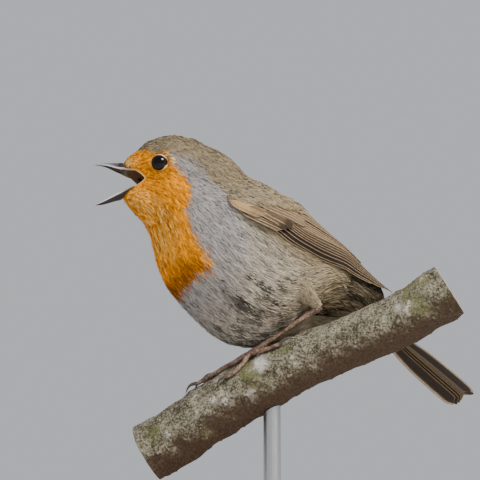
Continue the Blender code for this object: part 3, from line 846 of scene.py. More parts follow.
def shaped(thing, tools):
    """Apply a row of Booleans to a piece, and remove their tools."""
    for tool, operation in tools:
        change = thing.modifiers.new(tool.name, "BOOLEAN")
        change.operation = operation
        change.solver = "EXACT"
        change.object = tool
        change.material_mode = "TRANSFER"
    graph = bpy.context.evaluated_depsgraph_get()
    mesh = bpy.data.meshes.new_from_object(thing.evaluated_get(graph),
                                           preserve_all_data_layers=True, depsgraph=graph)
    thing.modifiers.clear()
    thing.data = mesh
    for tool, _ in tools:
        bpy.data.objects.remove(tool)
    return mesh


# %% [markdown]
# ### The mouth cut out
# A singing robin's mouth is open back to below the eye.  A wedge with a round corner cuts it out of
# the skin, and a hollow behind that runs down into the throat; both leave wet flesh on the cut.

# %% The mouth
MOUTH_CORNER = (-38.4, 52.85)
MOUTH_HALF_HEIGHT = 2.55
MOUTH_DEPTH = 2.9              # how far forward of its corner it is open to its full height
MOUTH_FRONT = (-60.0, 42.2, 59.6)      # where its cut ends: x, and z below and above
PALATE_RISE = 1.8              # how much higher the cut ends inside the upper bill
THROAT = np.array([-39.4, 0.0, 52.9])          # the hollow's middle, and its half sizes
THROAT_HALF = (3.2, 2.0, 1.3)
THROAT_LIFT = 0.4              # how much higher its rear end lies than its middle


def mouth_edge(share):
    """Places on the mouth's edge from -1 below to 1 above: x falls back by a power of the height."""
    return (MOUTH_CORNER[0] - MOUTH_DEPTH * np.abs(share)**1.4,
            MOUTH_CORNER[1] + MOUTH_HALF_HEIGHT * share)


def mouth_tool():
    """The mouth's wedge, rounded at its corner, drawn out to both sides."""
    x, z = mouth_edge(np.linspace(-1, 1, 25))
    front, low, high = MOUTH_FRONT
    x = np.concatenate([[front], x, [front]])
    z = np.concatenate([[low], z, [high + PALATE_RISE]])
    rings = np.stack([np.stack([x, 0 * x + y, z], axis=-1) for y in np.linspace(-12, 12, 9)])
    return closed_mesh("mouth_wedge", *closed_tube(rings))


def ball_rings(half, rows, columns, cut=0.08):
    """Rings of a ball along its first axis: cosine along it, sines and cosines round it.  It is
    open at its ends by a small angle."""
    along = np.linspace(cut, math.pi - cut, rows)[:, None]
    turn = turns(columns)[None, :]
    return np.stack([half[0] * np.cos(along) + 0 * turn, half[1] * np.sin(along) * np.cos(turn),
                     half[2] * np.sin(along) * np.sin(turn)], axis=-1)


def throat_tool():
    """A ball drawn out backwards, its rear end lifted."""
    rings = ball_rings(THROAT_HALF, 14, 24)
    rings[..., 2] += THROAT_LIFT / THROAT_HALF[0] * rings[..., 0]
    return closed_mesh("throat_hollow", *closed_tube(THROAT + rings))


def lining():
    """Wet flesh inside the mouth: dull yellow-brown at the bill, redder deep inside and painted darker
    there, as shade.
    """
    finish = Finish("mouth_lining", 0.6, Specular_IOR_Level=0.05)
    depth = (finish.place.parts()[0] * 1000.0).ramp(BIRD[0] - 46.0, BIRD[0] - 38.5)
    folds = finish.place.noise(700.0, 3.0)
    # Darker deep inside the mouth: painted shade.
    colour = depth.mix((0.110, 0.052, 0.006), (0.085, 0.030, 0.005))
    colour = (folds * 0.4).mix(colour, (0.040, 0.018, 0.005))
    finish.feed("Base Color", colour)
    finish.bump(folds, 0.0002)
    return finish


# %% Build the skin
SKIN_SHARP = math.radians(50)          # steeper edges, such as the mouth's rim, stay sharp

mesh = closed_mesh("skin", skin_points, skin_faces)
corner_marks(mesh, skin_marks)
skin = add_piece("skin", mesh, plumage("skin_plumage"),
                 ("head", "neck", "trunk", "rump", "thigh_left", "thigh_right"))
tools = [(thigh_tool(side), "UNION") for side in THIGHS]
lining_finish = lining()
for cut in (mouth_tool(), throat_tool()):
    cut.materials.append(lining_finish.material)
    tools.append((show(cut.name, cut), "DIFFERENCE"))
mesh = shaped(skin, tools)
mesh.set_sharp_from_angle(angle=SKIN_SHARP)
print("skin after its cuts:", len(mesh.polygons), "faces,", len(mesh.materials), "finishes")

# %% [markdown]
# ## The bill
# A robin's bill is thin and fine-pointed: two horn sheaths with sharp cutting edges, a ridge along the
# top, a nostril at each side near the base, and soft pale flesh where they meet the face.  Each half
# is one surface: along the bill, and round a section that is arched outside and hollow inside.

# %% Two mandibles
UPPER_BILL = (                 # x, cutting edge z, ridge z, half width
    (-53.7, 57.35, 57.50, 0.12), (-52.2, 57.45, 57.95, 0.50), (-50.4, 57.35, 58.25, 0.95),
    (-48.4, 56.85, 58.45, 1.45), (-46.4, 56.20, 58.58, 2.00), (-44.8, 55.90, 58.70, 2.75),
    (-43.8, 55.72, 57.30, 3.55), (-42.3, 55.50, 56.60, 4.70), (-41.0, 55.25, 56.10, 5.35),
)
LOWER_BILL = (
    (-53.2, 44.35, 44.20, 0.12), (-51.5, 45.30, 44.45, 0.65), (-50.0, 46.20, 44.85, 1.05),
    (-47.0, 48.00, 45.95, 1.85), (-45.0, 49.00, 46.60, 2.90), (-44.2, 49.30, 47.30, 3.75),
    (-42.8, 49.95, 48.45, 4.75), (-41.6, 50.35, 49.30, 5.30),
)
BILL_GRID = (90, 48)           # steps along the bill and round it
NOSTRIL = (-46.2, 57.75)       # x and z, in the upper half only, and its half sizes there
NOSTRIL_HALF = (0.55, 0.22)
NOSTRIL_DEPTH = 0.28           # the share of the width that it dips


def mandible(table, hollow):
    """One half of the bill.  Round the section the width is a cosine and the height a sine: the
    outer half rises to the ridge, and the inner half is a shallow hollow of its own depth."""
    x, edge, back, half = spline(table, np.linspace(0, len(table) - 1, BILL_GRID[0])).T[:, :, None]
    turn = turns(BILL_GRID[1])[None, :]
    sine = np.sin(turn)
    outer = np.maximum(sine, 0) ** 0.92
    inner = np.maximum(-sine, 0) ** 1.4
    height = (back - edge) * (outer + hollow * inner)
    slot = np.exp(-((x - NOSTRIL[0]) / NOSTRIL_HALF[0])**2
                  - ((edge + height - NOSTRIL[1]) / NOSTRIL_HALF[1])**2)
    y = half * np.cos(turn) * (1 - NOSTRIL_DEPTH * slot * (outer > 0))
    rings = np.stack([x + 0 * y, y, edge + height], axis=-1)
    places = np.stack([x + 0 * y, sine + 0 * x], axis=-1).reshape(-1, 2)
    points, faces = closed_tube(rings)
    return points, faces, np.concatenate([places, places[:1], places[-1:]])

# %% Horn
def horn():
    """Dark horn with a grey sheen painted as a highlight on the upper mandible's side near the tip, a
    pale cutting edge whose silver towards the tip is also a painted highlight, and a dull
    yellow-brown inner face, nearly black towards the tip.  The map holds the place along the bill
    and the sine round its section."""
    finish = Finish("bill_horn", 0.42, Specular_IOR_Level=0.28)
    along, turn = finish.uv("bill")[:2]
    streaks = finish.place.stretched((0.25, 1.0, 1.0)).noise(2600.0, 3.0)
    colour = streaks.mix((0.010, 0.007, 0.007), (0.045, 0.034, 0.032))
    # Painted highlight: a grey sheen on the upper mandible's side near the tip.
    upper = (finish.place.parts()[2] * 1000.0).ramp(BIRD[2] + 50.0, BIRD[2] + 53.0)
    painted_sheen = (1 - turn.ramp(0.55, 0.95)) * (1 - along.ramp(-50.8, -46.0)) * upper
    colour = (painted_sheen * 0.6).mix(colour, (0.34, 0.31, 0.33))
    edge = 1 - (turn - 0.08).size().ramp(0.08, 0.20)
    # The cutting edge is pale; its silver towards the tip is also a painted highlight.
    pale_edge_and_highlight = along.ramp(-47.5, -43.5).mix((0.68, 0.64, 0.66), (0.46, 0.33, 0.26))
    colour = (edge * 0.92).mix(colour, pale_edge_and_highlight)
    inner = (0 - turn).ramp(0.0, 0.18)
    inside = along.ramp(-50.0, -41.0).mix((0.012, 0.008, 0.005), (0.075, 0.043, 0.014))
    colour = inner.mix(colour, inside)
    flesh = along.ramp(-44.6, -41.2) * (1 - inner)
    colour = (flesh * 0.5).mix(colour, (0.34, 0.20, 0.10))
    finish.feed("Base Color", colour)
    finish.feed("Roughness", 0.36 + streaks * 0.2)
    finish.bump(streaks, 0.00008)
    return finish


horn_finish = horn()
for name, table, hollow in (("upper_mandible", UPPER_BILL, 0.30), ("lower_mandible", LOWER_BILL, 0.45)):
    points, faces, places = mandible(table, hollow)
    mesh = closed_mesh(name, points, faces)
    add_map(mesh, "bill", places)
    add_piece(name, mesh, horn_finish, (name.replace("mandible", "bill"),))


# %% [markdown]
# ### The soft corner of the gape
# Where the halves of the bill meet, a songbird has a swollen, pale fold of skin.  It is a tube along
# the mouth's round corner, laid on the cheek, thickest at the corner.

# %% The gape's fold
def gape_fold(side):
    """A thin tube along the mouth's edge on the cheek, thickest at its corner; its ends run on
    forwards under the bill's cutting edges."""
    share = np.linspace(-1.35, 1.35, 60)
    x, z = mouth_edge(np.clip(share, -1, 1))
    beyond = np.maximum(np.abs(share) - 1, 0)
    x = x - beyond * 6.0
    z = z + beyond * np.where(share > 0, 0.9, -2.2)
    breadth = np.minimum(breadth_at(x, z, -0.35), breadth_at(x + 0.5, z, -0.35))
    path = np.stack([x + 0.08, side * breadth, z], axis=-1)
    radii = 0.08 + 0.09 * np.exp(-(share / 0.75)**2)
    return closed_tube(tube_points(path, radii, 14, out=(0.0, side, 0.0)))


def gape_flesh():
    """Soft flesh with fine creases, mottled pink-brown and paler."""
    finish = Finish("gape_flesh", 0.5, Specular_IOR_Level=0.25)
    creases = finish.place.noise(1800.0, 3.0)
    finish.feed("Base Color", creases.mix((0.42, 0.26, 0.11), (0.64, 0.45, 0.22)))
    return finish.bump(creases, 0.0001)


flesh_finish = gape_flesh()
for side, sign in MIRROR.items():
    name = "gape_" + side
    add_piece(name, closed_mesh(name, *gape_fold(sign)), flesh_finish)

# %% [markdown]
# ## Eyes
# A songbird's eye is a large, dark, wet ball, mostly hidden: the lids leave only a disc.  The ball is
# a surface round the eye's own axis with a slightly domed front, and the lids are a ring that runs
# from the ball out to the face, so that the eye sits in a shallow bowl and not on the head.

# %% Balls and lids
EYE_LOOK = np.array([-0.30, 1.0, 0.03])        # the axis of the right eye
EYE_FLATNESS = 0.80                            # the ball's half depth beside its radius
EYE_FORWARD = 0.45                             # how far its middle is out from the solid eye's
EYE_DROP = 0.30                                # and how far below it
LID_INNER = 2.46
LID_OUTER = 2.85
LID_DROOP = 0.87                               # the opening's height as a share of its length


def eye_axes(side):
    """Three directions: out along the eye's axis, level with the head, and up."""
    out = EYE_LOOK * (1.0, side, 1.0)
    out = out / np.linalg.norm(out)
    level = np.cross(out, (0.0, 0.0, 1.0))
    level /= np.linalg.norm(level)
    return out, level, np.cross(level, out)


def eye_centre(side):
    """The ball's middle."""
    return EYE * (1.0, side, 1.0) + eye_axes(side)[0] * EYE_FORWARD - (0.0, 0.0, EYE_DROP)


def eye_ball(side):
    """A ball flattened along its axis, with the front raised a little by a narrow bell curve."""
    out, level, up = eye_axes(side)
    tilt = np.linspace(0.06, math.pi - 0.06, 48)[:, None]
    turn = turns(64)[None, :]
    deep = EYE_RADIUS * EYE_FLATNESS * np.cos(tilt) + 0.10 * np.exp(-(tilt / 0.7)**2)
    ring = level * np.cos(turn)[..., None] + up * np.sin(turn)[..., None]
    centre = eye_centre(side)
    rings = centre + out * deep[..., None] + EYE_RADIUS * np.sin(tilt)[..., None] * ring
    front = centre + out * (EYE_RADIUS * EYE_FLATNESS + 0.10)
    points, faces = closed_tube(rings, front, centre - out * EYE_RADIUS * EYE_FLATNESS)
    places = np.stack([tilt + 0 * turn, turn / (2 * math.pi) + 0 * tilt], axis=-1).reshape(-1, 2)
    return points, faces, np.concatenate([places, [(0.0, 0.0), (math.pi, 0.0)]])

# %% The lids
def lid_ring(side):
    """The lids: out from the ball's surface to the face, over a soft rounded rim, with a small
    point at the rear corner.  The face's height over the eye's plane is found in four steps."""
    out, level, up = eye_axes(side)
    share = np.linspace(0, 1, 14)[:, None]
    turn = turns(96)[None, :]
    rear = np.sign(level[0])
    corner = 0.30 * np.exp(-((1 - rear * np.cos(turn)) / 0.06))
    reach = LID_INNER + (LID_OUTER - LID_INNER) * share + corner * (1 - share)
    aside = reach * np.cos(turn)
    rise = reach * np.sin(turn) * (LID_DROOP + (1 - LID_DROOP) * share)
    centre = eye_centre(side)
    flat = centre + aside[..., None] * level + rise[..., None] * up
    face = np.zeros(aside.shape)
    for _ in range(4):
        spot = flat + face[..., None] * out
        face = (breadth_at(spot[..., 0], spot[..., 2], -0.28) - side * flat[..., 1]) / abs(out[1])
    away = 1 - (aside**2 + rise**2) / EYE_RADIUS**2
    ball = EYE_RADIUS * EYE_FLATNESS * np.sqrt(np.maximum(away, 0.0)) - 0.05
    height = ball + (face - ball) * soft_step(share, 0.10, 0.75) + 0.20 * np.sin(math.pi * share)**2
    height = height - 0.8 * soft_step(share, 0.8, 1.0)
    return flat + height[..., None] * out

# %% Wet eye, beaded lids
def eye_finish():
    """Wet and nearly black: a dark brown iris shows only round the pupil's edge."""
    finish = Finish("eye_wet", 0.05, Specular_IOR_Level=0.22)
    tilt, turn = finish.uv("ball")[:2]
    rays = turn.node("ShaderNodeTexNoise", {"noise_dimensions": "1D"}, {"W": turn, "Scale": 60.0})
    iris = rays.mix((0.018, 0.008, 0.004), (0.009, 0.004, 0.003))
    finish.feed("Base Color", tilt.ramp(0.60, 0.72).mix((0.002, 0.002, 0.002), iris))
    return finish


def lid_finish():
    """Thin pale skin, finely beaded."""
    finish = Finish("lid_skin", 0.6)
    beads = finish.place.cells(2200.0)
    finish.feed("Base Color", beads.mix((0.86, 0.66, 0.30), (0.66, 0.44, 0.15)))
    return finish.bump(1 - beads, 0.00006)


ball_finish = eye_finish()
lids = lid_finish()
for side, sign in MIRROR.items():
    points, faces, places = eye_ball(sign)
    mesh = closed_mesh("eyeball_" + side, points, faces)
    add_map(mesh, "ball", places)
    add_piece("eyeball_" + side, mesh, ball_finish, ("eye_" + side,))
    rings = lid_ring(sign)
    mesh = fill_mesh("eyelids_" + side, in_row(rings.reshape(-1, 3)),
                     [grid_faces(*rings.shape[:2], closed=True, flip=sign > 0)])
    add_piece("eyelids_" + side, mesh, lids)

# %% [markdown]
# ## The coat
# A robin's body feathers are loose: what shows is not their outline but their fine barbs, lying back
# along the body like brushed hair.  Particle hair would be lost in an export, so each feather's
# showing end is a lock of barbs: narrow blades of two or three faces that share a root, rise from
# the skin to the coat's outside, fan out and lie down over the next lock.  They are made by the
# thousand as whole arrays.  Their length and spacing grow from the face back to the belly.

# %% Locks of barbs
BAKE_PATCH = 0.003             # each lock's patch on the bake map
BAKE_MARGIN = 0.02             # the map's rim that is kept free


def on_bake_map(first, second):
    """Places from 0 to 1 in two lists, as places on the bake map inside its rim."""
    return np.stack([first, second], axis=-1) * (1 - 2 * BAKE_MARGIN) + BAKE_MARGIN


def blade_faces(count, knots):
    """Faces for many blades: squares between their knots, and a triangle at the tip."""
    start = np.arange(count)[:, None] * (2 * knots + 1)
    low = 2 * np.arange(knots - 1)[None, :]
    squares = np.stack([start + low, start + low + 1, start + low + 3, start + low + 2], axis=-1)
    tip = start[:, 0] + 2 * knots
    tips = np.stack([tip - 2, tip - 1, tip], axis=-1)
    return [squares.reshape(-1, 4), tips]

# %% Lay many blades at once
def locks(sheet, first, second, size, rng, knots, barbs, tone, turn=0.0):
    """Blades of many locks on a sheet.  size holds arrays for the locks: length, width, the root's
    and the top's height over the sheet, and the blades' width.  Along a blade: its place runs on by
    its length, it drifts aside with its fan, and its height rises by a smooth step and sinks again
    near the tip; its width narrows by a square to nothing."""
    length, width, root, top, blade = (np.broadcast_to(value, first.shape)[:, None, None]
                                       for value in size)
    count = len(first)
    run = np.linspace(0, 1, knots + 1)[None, None, :]
    fan = np.linspace(-1, 1, barbs)[None, :, None] + rng.normal(0, 0.22, (count, barbs, 1))
    own = 1 + rng.normal(0, 0.16, (count, barbs, 1)) - 0.18 * fan**2
    heading = (np.broadcast_to(turn, first.shape)[:, None, None]
               + rng.normal(0, 0.10, (count, 1, 1)) + rng.normal(0, 0.05, (count, barbs, 1)))
    start = -0.15 * length + 0.12 * length * rng.random((count, barbs, 1))
    ahead = start + length * own * run
    aside = fan * width / 2 * (0.30 + 0.70 * run**0.7)
    rise = soft_step(run, 0.0, 0.62) - 0.28 * np.maximum(run - 0.62, 0) / 0.38
    height = root + (top - root) * rise
    height = height + rng.normal(0, 0.10, (count, barbs, 1)) * run * (top - root) - 0.10 * fan**2
    narrow = blade / 2 * np.sqrt(1 - run**2 * 0.999)
    edge = np.array([-1.0, 1.0])
    cosine = np.cos(heading)[..., None]
    sine = np.sin(heading)[..., None]
    roll = rng.normal(0, 0.25, (count, barbs, 1, 1))
    ahead = ahead[..., None] + 0 * edge
    aside = aside[..., None] + narrow[..., None] * edge
    height = height[..., None] + narrow[..., None] * edge * roll
    along = ahead * cosine - aside * sine
    across = ahead * sine + aside * cosine
    per_first, per_second = (value[:, None, None, None] for value in sheet.stretch(first, second))
    points = sheet.point(first[:, None, None, None] + along / per_first,
                         second[:, None, None, None] + across / np.maximum(per_second, 1.0), height)
    points = points.reshape(count * barbs, 2 * (knots + 1), 3)
    points[:, 2 * knots] = points[:, 2 * knots:].mean(axis=1)
    points = points[:, :2 * knots + 1]
    runs = np.broadcast_to(np.repeat(run[0, 0], 2)[:2 * knots + 1], points.shape[:2])
    lock = np.repeat(tone, barbs)[:, None] + 0 * runs
    barb = rng.random((count * barbs, 1)) + 0 * runs
    patch = np.stack([np.append(np.tile(edge, knots), 0.0) + 0 * runs, 2 * runs - 1], axis=-1)
    return {"points": points.reshape(-1, 3), "faces": blade_faces(count * barbs, knots),
            "own": np.stack([runs, lock, barb], axis=-1).reshape(-1, 3),
            "patch": patch.reshape(-1, 2) * BAKE_PATCH / 2, "each": barbs * (2 * knots + 1)}

# %% Locks as a piece
def lock_piece(name, grown, marks, cream, bake, finish):
    """Locks as a piece: marks and cream are told for each lock, and bake is its root's place."""
    each = grown["each"]
    mesh = fill_mesh(name, in_row(grown["points"]), grown["faces"])
    add_map(mesh, "OFBake", np.repeat(bake, each, axis=0) + grown["patch"])
    add_values(mesh, "marks", np.repeat(marks, each, axis=0))
    add_values(mesh, "barbs", np.column_stack([grown["own"], np.repeat(cream, each)]))
    add_piece(name, mesh, finish)


# %% [markdown]
# ### Where the locks stand
# Roots have to be even, or bald spots show, but not in rows.  A low-discrepancy sequence gives even
# places in a square, and running it through the share of area in each strip of the body carries them
# onto the skin at the spacing wanted there.

# %% Spread the roots
FEATHERING = (                 # station, spacing, lock's length, lock's width, barb's width
    (0.25, 0.37, 1.0, 0.42, 0.15), (2.0, 0.39, 1.2, 0.48, 0.16), (4.0, 0.56, 2.2, 0.85, 0.20),
    (6.0, 0.82, 4.6, 1.6, 0.26), (8.0, 0.98, 6.8, 2.2, 0.30), (10.0, 1.05, 8.0, 2.5, 0.32),
    (12.0, 1.10, 7.8, 2.7, 0.33), (14.5, 1.05, 6.4, 2.4, 0.34),
)
FIRST_STEP = 0.7548776662      # the plane's own golden ratio, for even places
SECOND_STEP = 0.5698402910
READINGS = 400                 # how finely each strip's share of area is stored


def even_places(count):
    """Two lists of places from 0 to 1, which together fill a square evenly but not in rows."""
    number = np.arange(count)
    return (0.5 + number * FIRST_STEP) % 1, (0.5 + number * SECOND_STEP) % 1


def even_roots(low, high):
    """Stations and angles, evenly spread by area over the body between two stations."""
    edges = np.linspace(low, high, 49)
    stations = (edges[1:] + edges[:-1]) / 2
    angles = np.linspace(-math.pi, math.pi, 145)
    middle = (angles[1:] + angles[:-1]) / 2
    grid = np.meshgrid(stations, middle, indexing="ij")
    per_station, per_angle = body.stretch(*grid)
    spacing = listed(FEATHERING, grid[0])[0]
    share = per_station * per_angle / spacing**2 * (edges[1] - edges[0]) * (angles[1] - angles[0])
    rows = np.concatenate([[0], np.cumsum(share.sum(axis=1))])
    count = int(rows[-1])
    along, across = even_places(count)
    station = np.interp(along * rows[-1], rows, edges)
    row_share = np.cumsum(np.concatenate([np.zeros((len(stations), 1)), share], axis=1), axis=1)
    row_share /= row_share[:, -1:]
    row = np.clip(np.searchsorted(edges, station) - 1, 0, len(stations) - 1)
    shares = np.linspace(0, 1, READINGS)
    order = np.array([np.interp(shares, share_row, angles) for share_row in row_share])
    place = across * (READINGS - 1)
    low_place = np.minimum(place.astype(int), READINGS - 2)
    part = place - low_place
    angle = order[row, low_place] * (1 - part) + order[row, low_place + 1] * part
    return station, angle


print("roots over the breast:", len(even_roots(7.2, 8.5)[0]))

# %% [markdown]
# ### Where a lock has room, and how high it lies
# No lock may cover an eye, the open mouth or the bill, and none is needed well under the wing.  Over
# the wing's bend and upper edge and over the thighs the feathers lap up, so the coat's outside is
# raised there.

# %% Room and height


WING_ROWS = (                  # station, lower edge, upper edge in degrees, height over the body
    (7.05, 74.0, 60.0, 1.0), (7.35, 78.0, 52.0, 1.5), (8.0, 76.0, 46.0, 1.9),
    (8.7, 72.5, 40.0, 2.0), (9.4, 69.0, 31.0, 1.9), (10.1, 63.0, 20.0, 1.7),
    (10.8, 61.0, 12.0, 1.7), (11.5, 61.5, 8.0, 2.3), (12.2, 64.0, 7.0, 3.1),
    (12.8, 63.0, 7.0, 4.7), (13.3, 58.0, 8.0, 6.3), (13.8, 36.0, 14.0, 8.0),
)


def room_for_locks(station, angle, place):
    """Where a lock may stand: not on an eye, in the mouth, on the bill or well under a wing."""
    degrees = np.degrees(np.abs(angle))
    from_eye = place * (1.0, 0.0, 1.0) - EYE * (1.0, 0.0, 1.0)
    near_eye = (np.abs(from_eye[:, 0]) < 3.2) & (np.hypot(from_eye[:, 0], from_eye[:, 2]) < 2.75)
    front, low, high = MOUTH_FRONT
    edge_x = np.array([front, MOUTH_CORNER[0] - MOUTH_DEPTH])
    wedge_low = np.interp(place[:, 0], edge_x, (low, MOUTH_CORNER[1] - MOUTH_HALF_HEIGHT))
    wedge_high = np.interp(place[:, 0], edge_x, (high, MOUTH_CORNER[1] + MOUTH_HALF_HEIGHT))
    in_mouth = (place[:, 0] < edge_x[1]) & (place[:, 2] > wedge_low - 0.45) \
        & (place[:, 2] < wedge_high + 0.45)
    share = (place[:, 2] - MOUTH_CORNER[1]) / (MOUTH_HALF_HEIGHT + 0.5)
    in_mouth |= (np.abs(share) < 1) & (place[:, 0] < mouth_edge(share)[0] + 0.55)
    lower, upper, _ = listed(WING_ROWS, station)
    under = (station > 7.6) & (station < 11.4) & (degrees < lower - 10) & (degrees > upper + 12)
    on_tail = (station > 13.6) & (degrees < 60)
    return ~(near_eye | in_mouth | under | on_tail)


def coat_top(station, angle, place):
    """The coat's outside over the body: level, but raised where feathers lap over the wing's bend
    and its upper edge, and over the thighs."""
    degrees = np.degrees(np.abs(angle))
    _, upper, _ = listed(WING_ROWS, station)
    bend = 1.3 * np.exp(-((station - 6.9) / 0.55)**2) * np.exp(-((degrees - 66) / 20)**2)
    edge = 0.6 * soft_step(degrees, upper - 26, upper - 4) * (degrees < upper + 14)
    edge = edge * soft_step(station, 6.8, 7.6) * (1 - soft_step(station, 10.6, 11.6))
    over_thigh = 0 * station
    for hip, heel in THIGHS.values():
        upper_thigh = np.array(hip) * 0.45 + np.array(heel) * 0.55
        away = np.linalg.norm((place - upper_thigh) / (5.0, 7.0, 5.0), axis=1)
        over_thigh = over_thigh + 2.2 * np.exp(-away**2)
    return np.max([bend, edge, over_thigh], axis=0)


COAT_PARTS = (                 # name, first and last station, knots and barbs of a lock
    ("coat_face", 0.25, 3.6, 2, 6), ("coat_head", 3.6, 5.6, 2, 8), ("coat_neck", 5.6, 7.2, 3, 8),
    ("coat_breast", 7.2, 8.5, 3, 10), ("coat_sides", 8.5, 9.9, 3, 10),
    ("coat_belly", 9.9, 11.6, 3, 10), ("coat_rump", 11.6, 14.4, 3, 10),
)
STREAKS = (                    # where the loose feathers part: station, degrees, half length, half width
    (8.55, 137, 0.55, 2.6), (9.05, 140, 0.35, 2.6), (8.9, 117, 0.60, 2.2), (9.35, 124, 0.35, 1.6),
    (8.1, 153, 0.70, 1.2), (9.5, 133, 0.30, 1.6),
)


def lock_tones(station, degrees, orange, rng):
    """Each lock's own tone from 0 (dark) to 1: long uneven streaks along the body, a little chance,
    partings that show the dark down, painted shade low on the breast, on the belly and on the side
    under the wing near the tail, and painted light lower on the flank there."""
    streaks = stirred(np.stack([station * 1.3, degrees * 0.11], axis=-1), 1.0, 7)
    belly = soft_step(degrees, 108, 140) * soft_step(station, 7.6, 8.6)
    side = soft_step(degrees, 70, 90) * soft_step(station, 8.0, 9.0)
    tone = 0.56 + (0.17 + 0.08 * side) * streaks
    tone = tone + (0.36 + 0.20 * side) * (rng.random(len(station)) - 0.5)
    tone = tone + 0.35 * side * (rng.random(len(station)) > 0.88)
    # Darker at the breast's end, on the belly's underside and lower on its side: painted shade.
    tone = tone - 0.15 * belly - 0.20 * soft_step(degrees, 135, 165) * soft_step(station, 8.8, 9.8)
    tone = tone - 0.14 * soft_step(degrees, 98, 118) * soft_step(station, 9.2, 10.2)
    for middle, across, half_length, half_width in STREAKS:
        away = ((station - middle) / half_length)**2 + ((degrees - across) / half_width)**2
        tone = tone - (0.35 + 0.75 * rng.random(len(station))) * np.exp(-away)
    # Painted shade low on the breast.
    tone = tone - 0.80 * soft_step(station, 6.3, 7.1) * soft_step(degrees, 128, 155) * orange
    under_wing = soft_step(station, 10.6, 11.6)
    # Painted shade on the side under the wing near the tail.
    tone = tone - 0.62 * under_wing * soft_step(degrees, 55, 78)
    # Painted light lower on the flank there.
    tone = tone + 0.55 * under_wing * soft_step(degrees, 95, 125)
    return np.clip(tone, -0.3, 1)


def creamy(place, degrees, station, orange, rng):
    """How cream a lock is: at the bill's base, behind the eye, on its rim and, strand by strand, on
    the chin."""
    aside = place - EYE * (1.0, 0.0, 1.0)
    from_eye = np.hypot(aside[:, 0], aside[:, 2])
    corner = 0.9 * soft_step(-np.hypot(aside[:, 0] - 3.1, aside[:, 2] - 0.8), -1.15, -0.5)
    rim = 0.75 * soft_step(-from_eye, -3.0, -2.8) * (aside[:, 0] < 2.0)
    base = np.hypot((place[:, 0] + 44.7) / 1.6, (place[:, 2] - 58.2) / 1.4)
    base = 0.85 * soft_step(-base, -1.7, -0.3) + 0.30 * soft_step(-base, -3.2, -1.0)
    chin = soft_step(degrees, 118, 150) * (1 - soft_step(station, 5.0, 6.8)) * orange
    chance = rng.random(len(station))
    return np.max([corner, rim, base * (0.5 + 0.6 * chance), 0.55 * chin * (chance > 0.5)], axis=0)


coat_finish = plumage("coat_plumage")
for number, (name, low, high, knots, barbs) in enumerate(COAT_PARTS):
    rng = np.random.default_rng(100 + number)
    station, angle = even_roots(low, high)
    place = body.point(station, angle, 0 * station)
    keep = room_for_locks(station, angle, place)
    station, angle, place = station[keep], angle[keep], place[keep]
    _, length, width, blade = listed(FEATHERING, station)
    depth, = listed(SKIN_DEPTH, station)
    under_chin = soft_step(np.degrees(np.abs(angle)), 118, 150) * (1 - soft_step(station, 4.2, 5.6))
    crown = soft_step(station, 1.8, 3.0) * (1 - soft_step(station, 5.0, 6.5))
    crown = crown * (1 - soft_step(np.degrees(np.abs(angle)), 15, 40))
    loose = 0.10 + 0.30 * under_chin + 0.14 * crown
    length = length * (1 + 0.35 * under_chin)
    top = coat_top(station, angle, place) - 0.05 - 0.3 * under_chin
    top = top + rng.normal(0, 1.0, len(station)) * loose * depth
    halfway = 0.5 * length / body.stretch(station, angle)[0]
    ragged = marks_at(station + halfway + rng.normal(0, 0.06, len(station)),
                      angle + rng.normal(0, 0.05, len(station)))
    from_eye = np.hypot(place[:, 0] - EYE[0], place[:, 2] - EYE[2])
    ahead = place[:, 0] < EYE[0] + 0.8
    length = np.where(ahead & (from_eye < 5.0), np.clip(from_eye - 2.55, 0.25, length), length)
    degrees = np.degrees(np.abs(angle))
    level_lie = 0.5 * np.exp(-((station - 10.2) / 1.1)**2 - ((degrees - 97) / 20)**2)
    tones = lock_tones(station, degrees, ragged[:, 0], rng)
    cream = creamy(place, degrees, station, ragged[:, 0], rng)
    grown = locks(body, station, angle, (length * (1 + rng.normal(0, 0.1, len(station))), width,
                                         -depth - 0.1, top, blade), rng, knots, barbs,
                  turn=-np.sign(angle) * level_lie, tone=tones)
    bake = on_bake_map((angle / math.pi + 1) / 2, (station - low) / (high - low))
    lock_piece(name, grown, ragged, cream, bake, coat_finish)


# %% [markdown]
# ### Thighs, vent and tail coverts
# The thighs are clothed round their own tubes, with locks that shorten down to the heel.  The fluff
# under the tail's base and the feathers over it stand higher than the rest, so they grow on surfaces
# of their own, raised over the body by a bell curve.

# %% Clothe the thighs and raise two patches
THIGH_LOCKS = 420


def thigh_sheet(side):
    """The thigh's surface: how far down it, and the turn round it."""
    run = np.linspace(0, 1, 40)
    rings = thigh_rings(side, len(run), 48)
    rings = np.concatenate([rings, rings[:, :1]], axis=1)
    sheet = Sheet(run, np.linspace(0, 2 * math.pi, 49), rings, 1.0)
    outward = rings[20, 0] - rings[20].mean(axis=0)
    sheet.fields[..., 3:6] *= np.sign(sheet.fields[20, 0, 3:6] @ outward)
    return sheet


RAISED = (                     # loose feathers that stand high: name, locks, middle station and degrees,
    # half length and half width of the patch, height in mm, tone at its start and end, how much
    # darker its sides are as painted shade, marks
    # The tail coverts grow darker to their end and at their sides: painted shade under the wings.
    ("coat_tail_coverts", 1200, 13.1, 0, 1.1, 88, 5.2, 0.40, -0.20, 0.9, (0.0, 0.0, 0.9, 0.8)),
    # The vent's high tone is its pale fluff and also painted light in the shade between belly and branch.
    ("coat_vent", 700, 11.45, 167, 1.15, 33, 4.4, 0.85, 0.60, 0.0, (0.0, 0.0, 0.0, 0.55)),
)


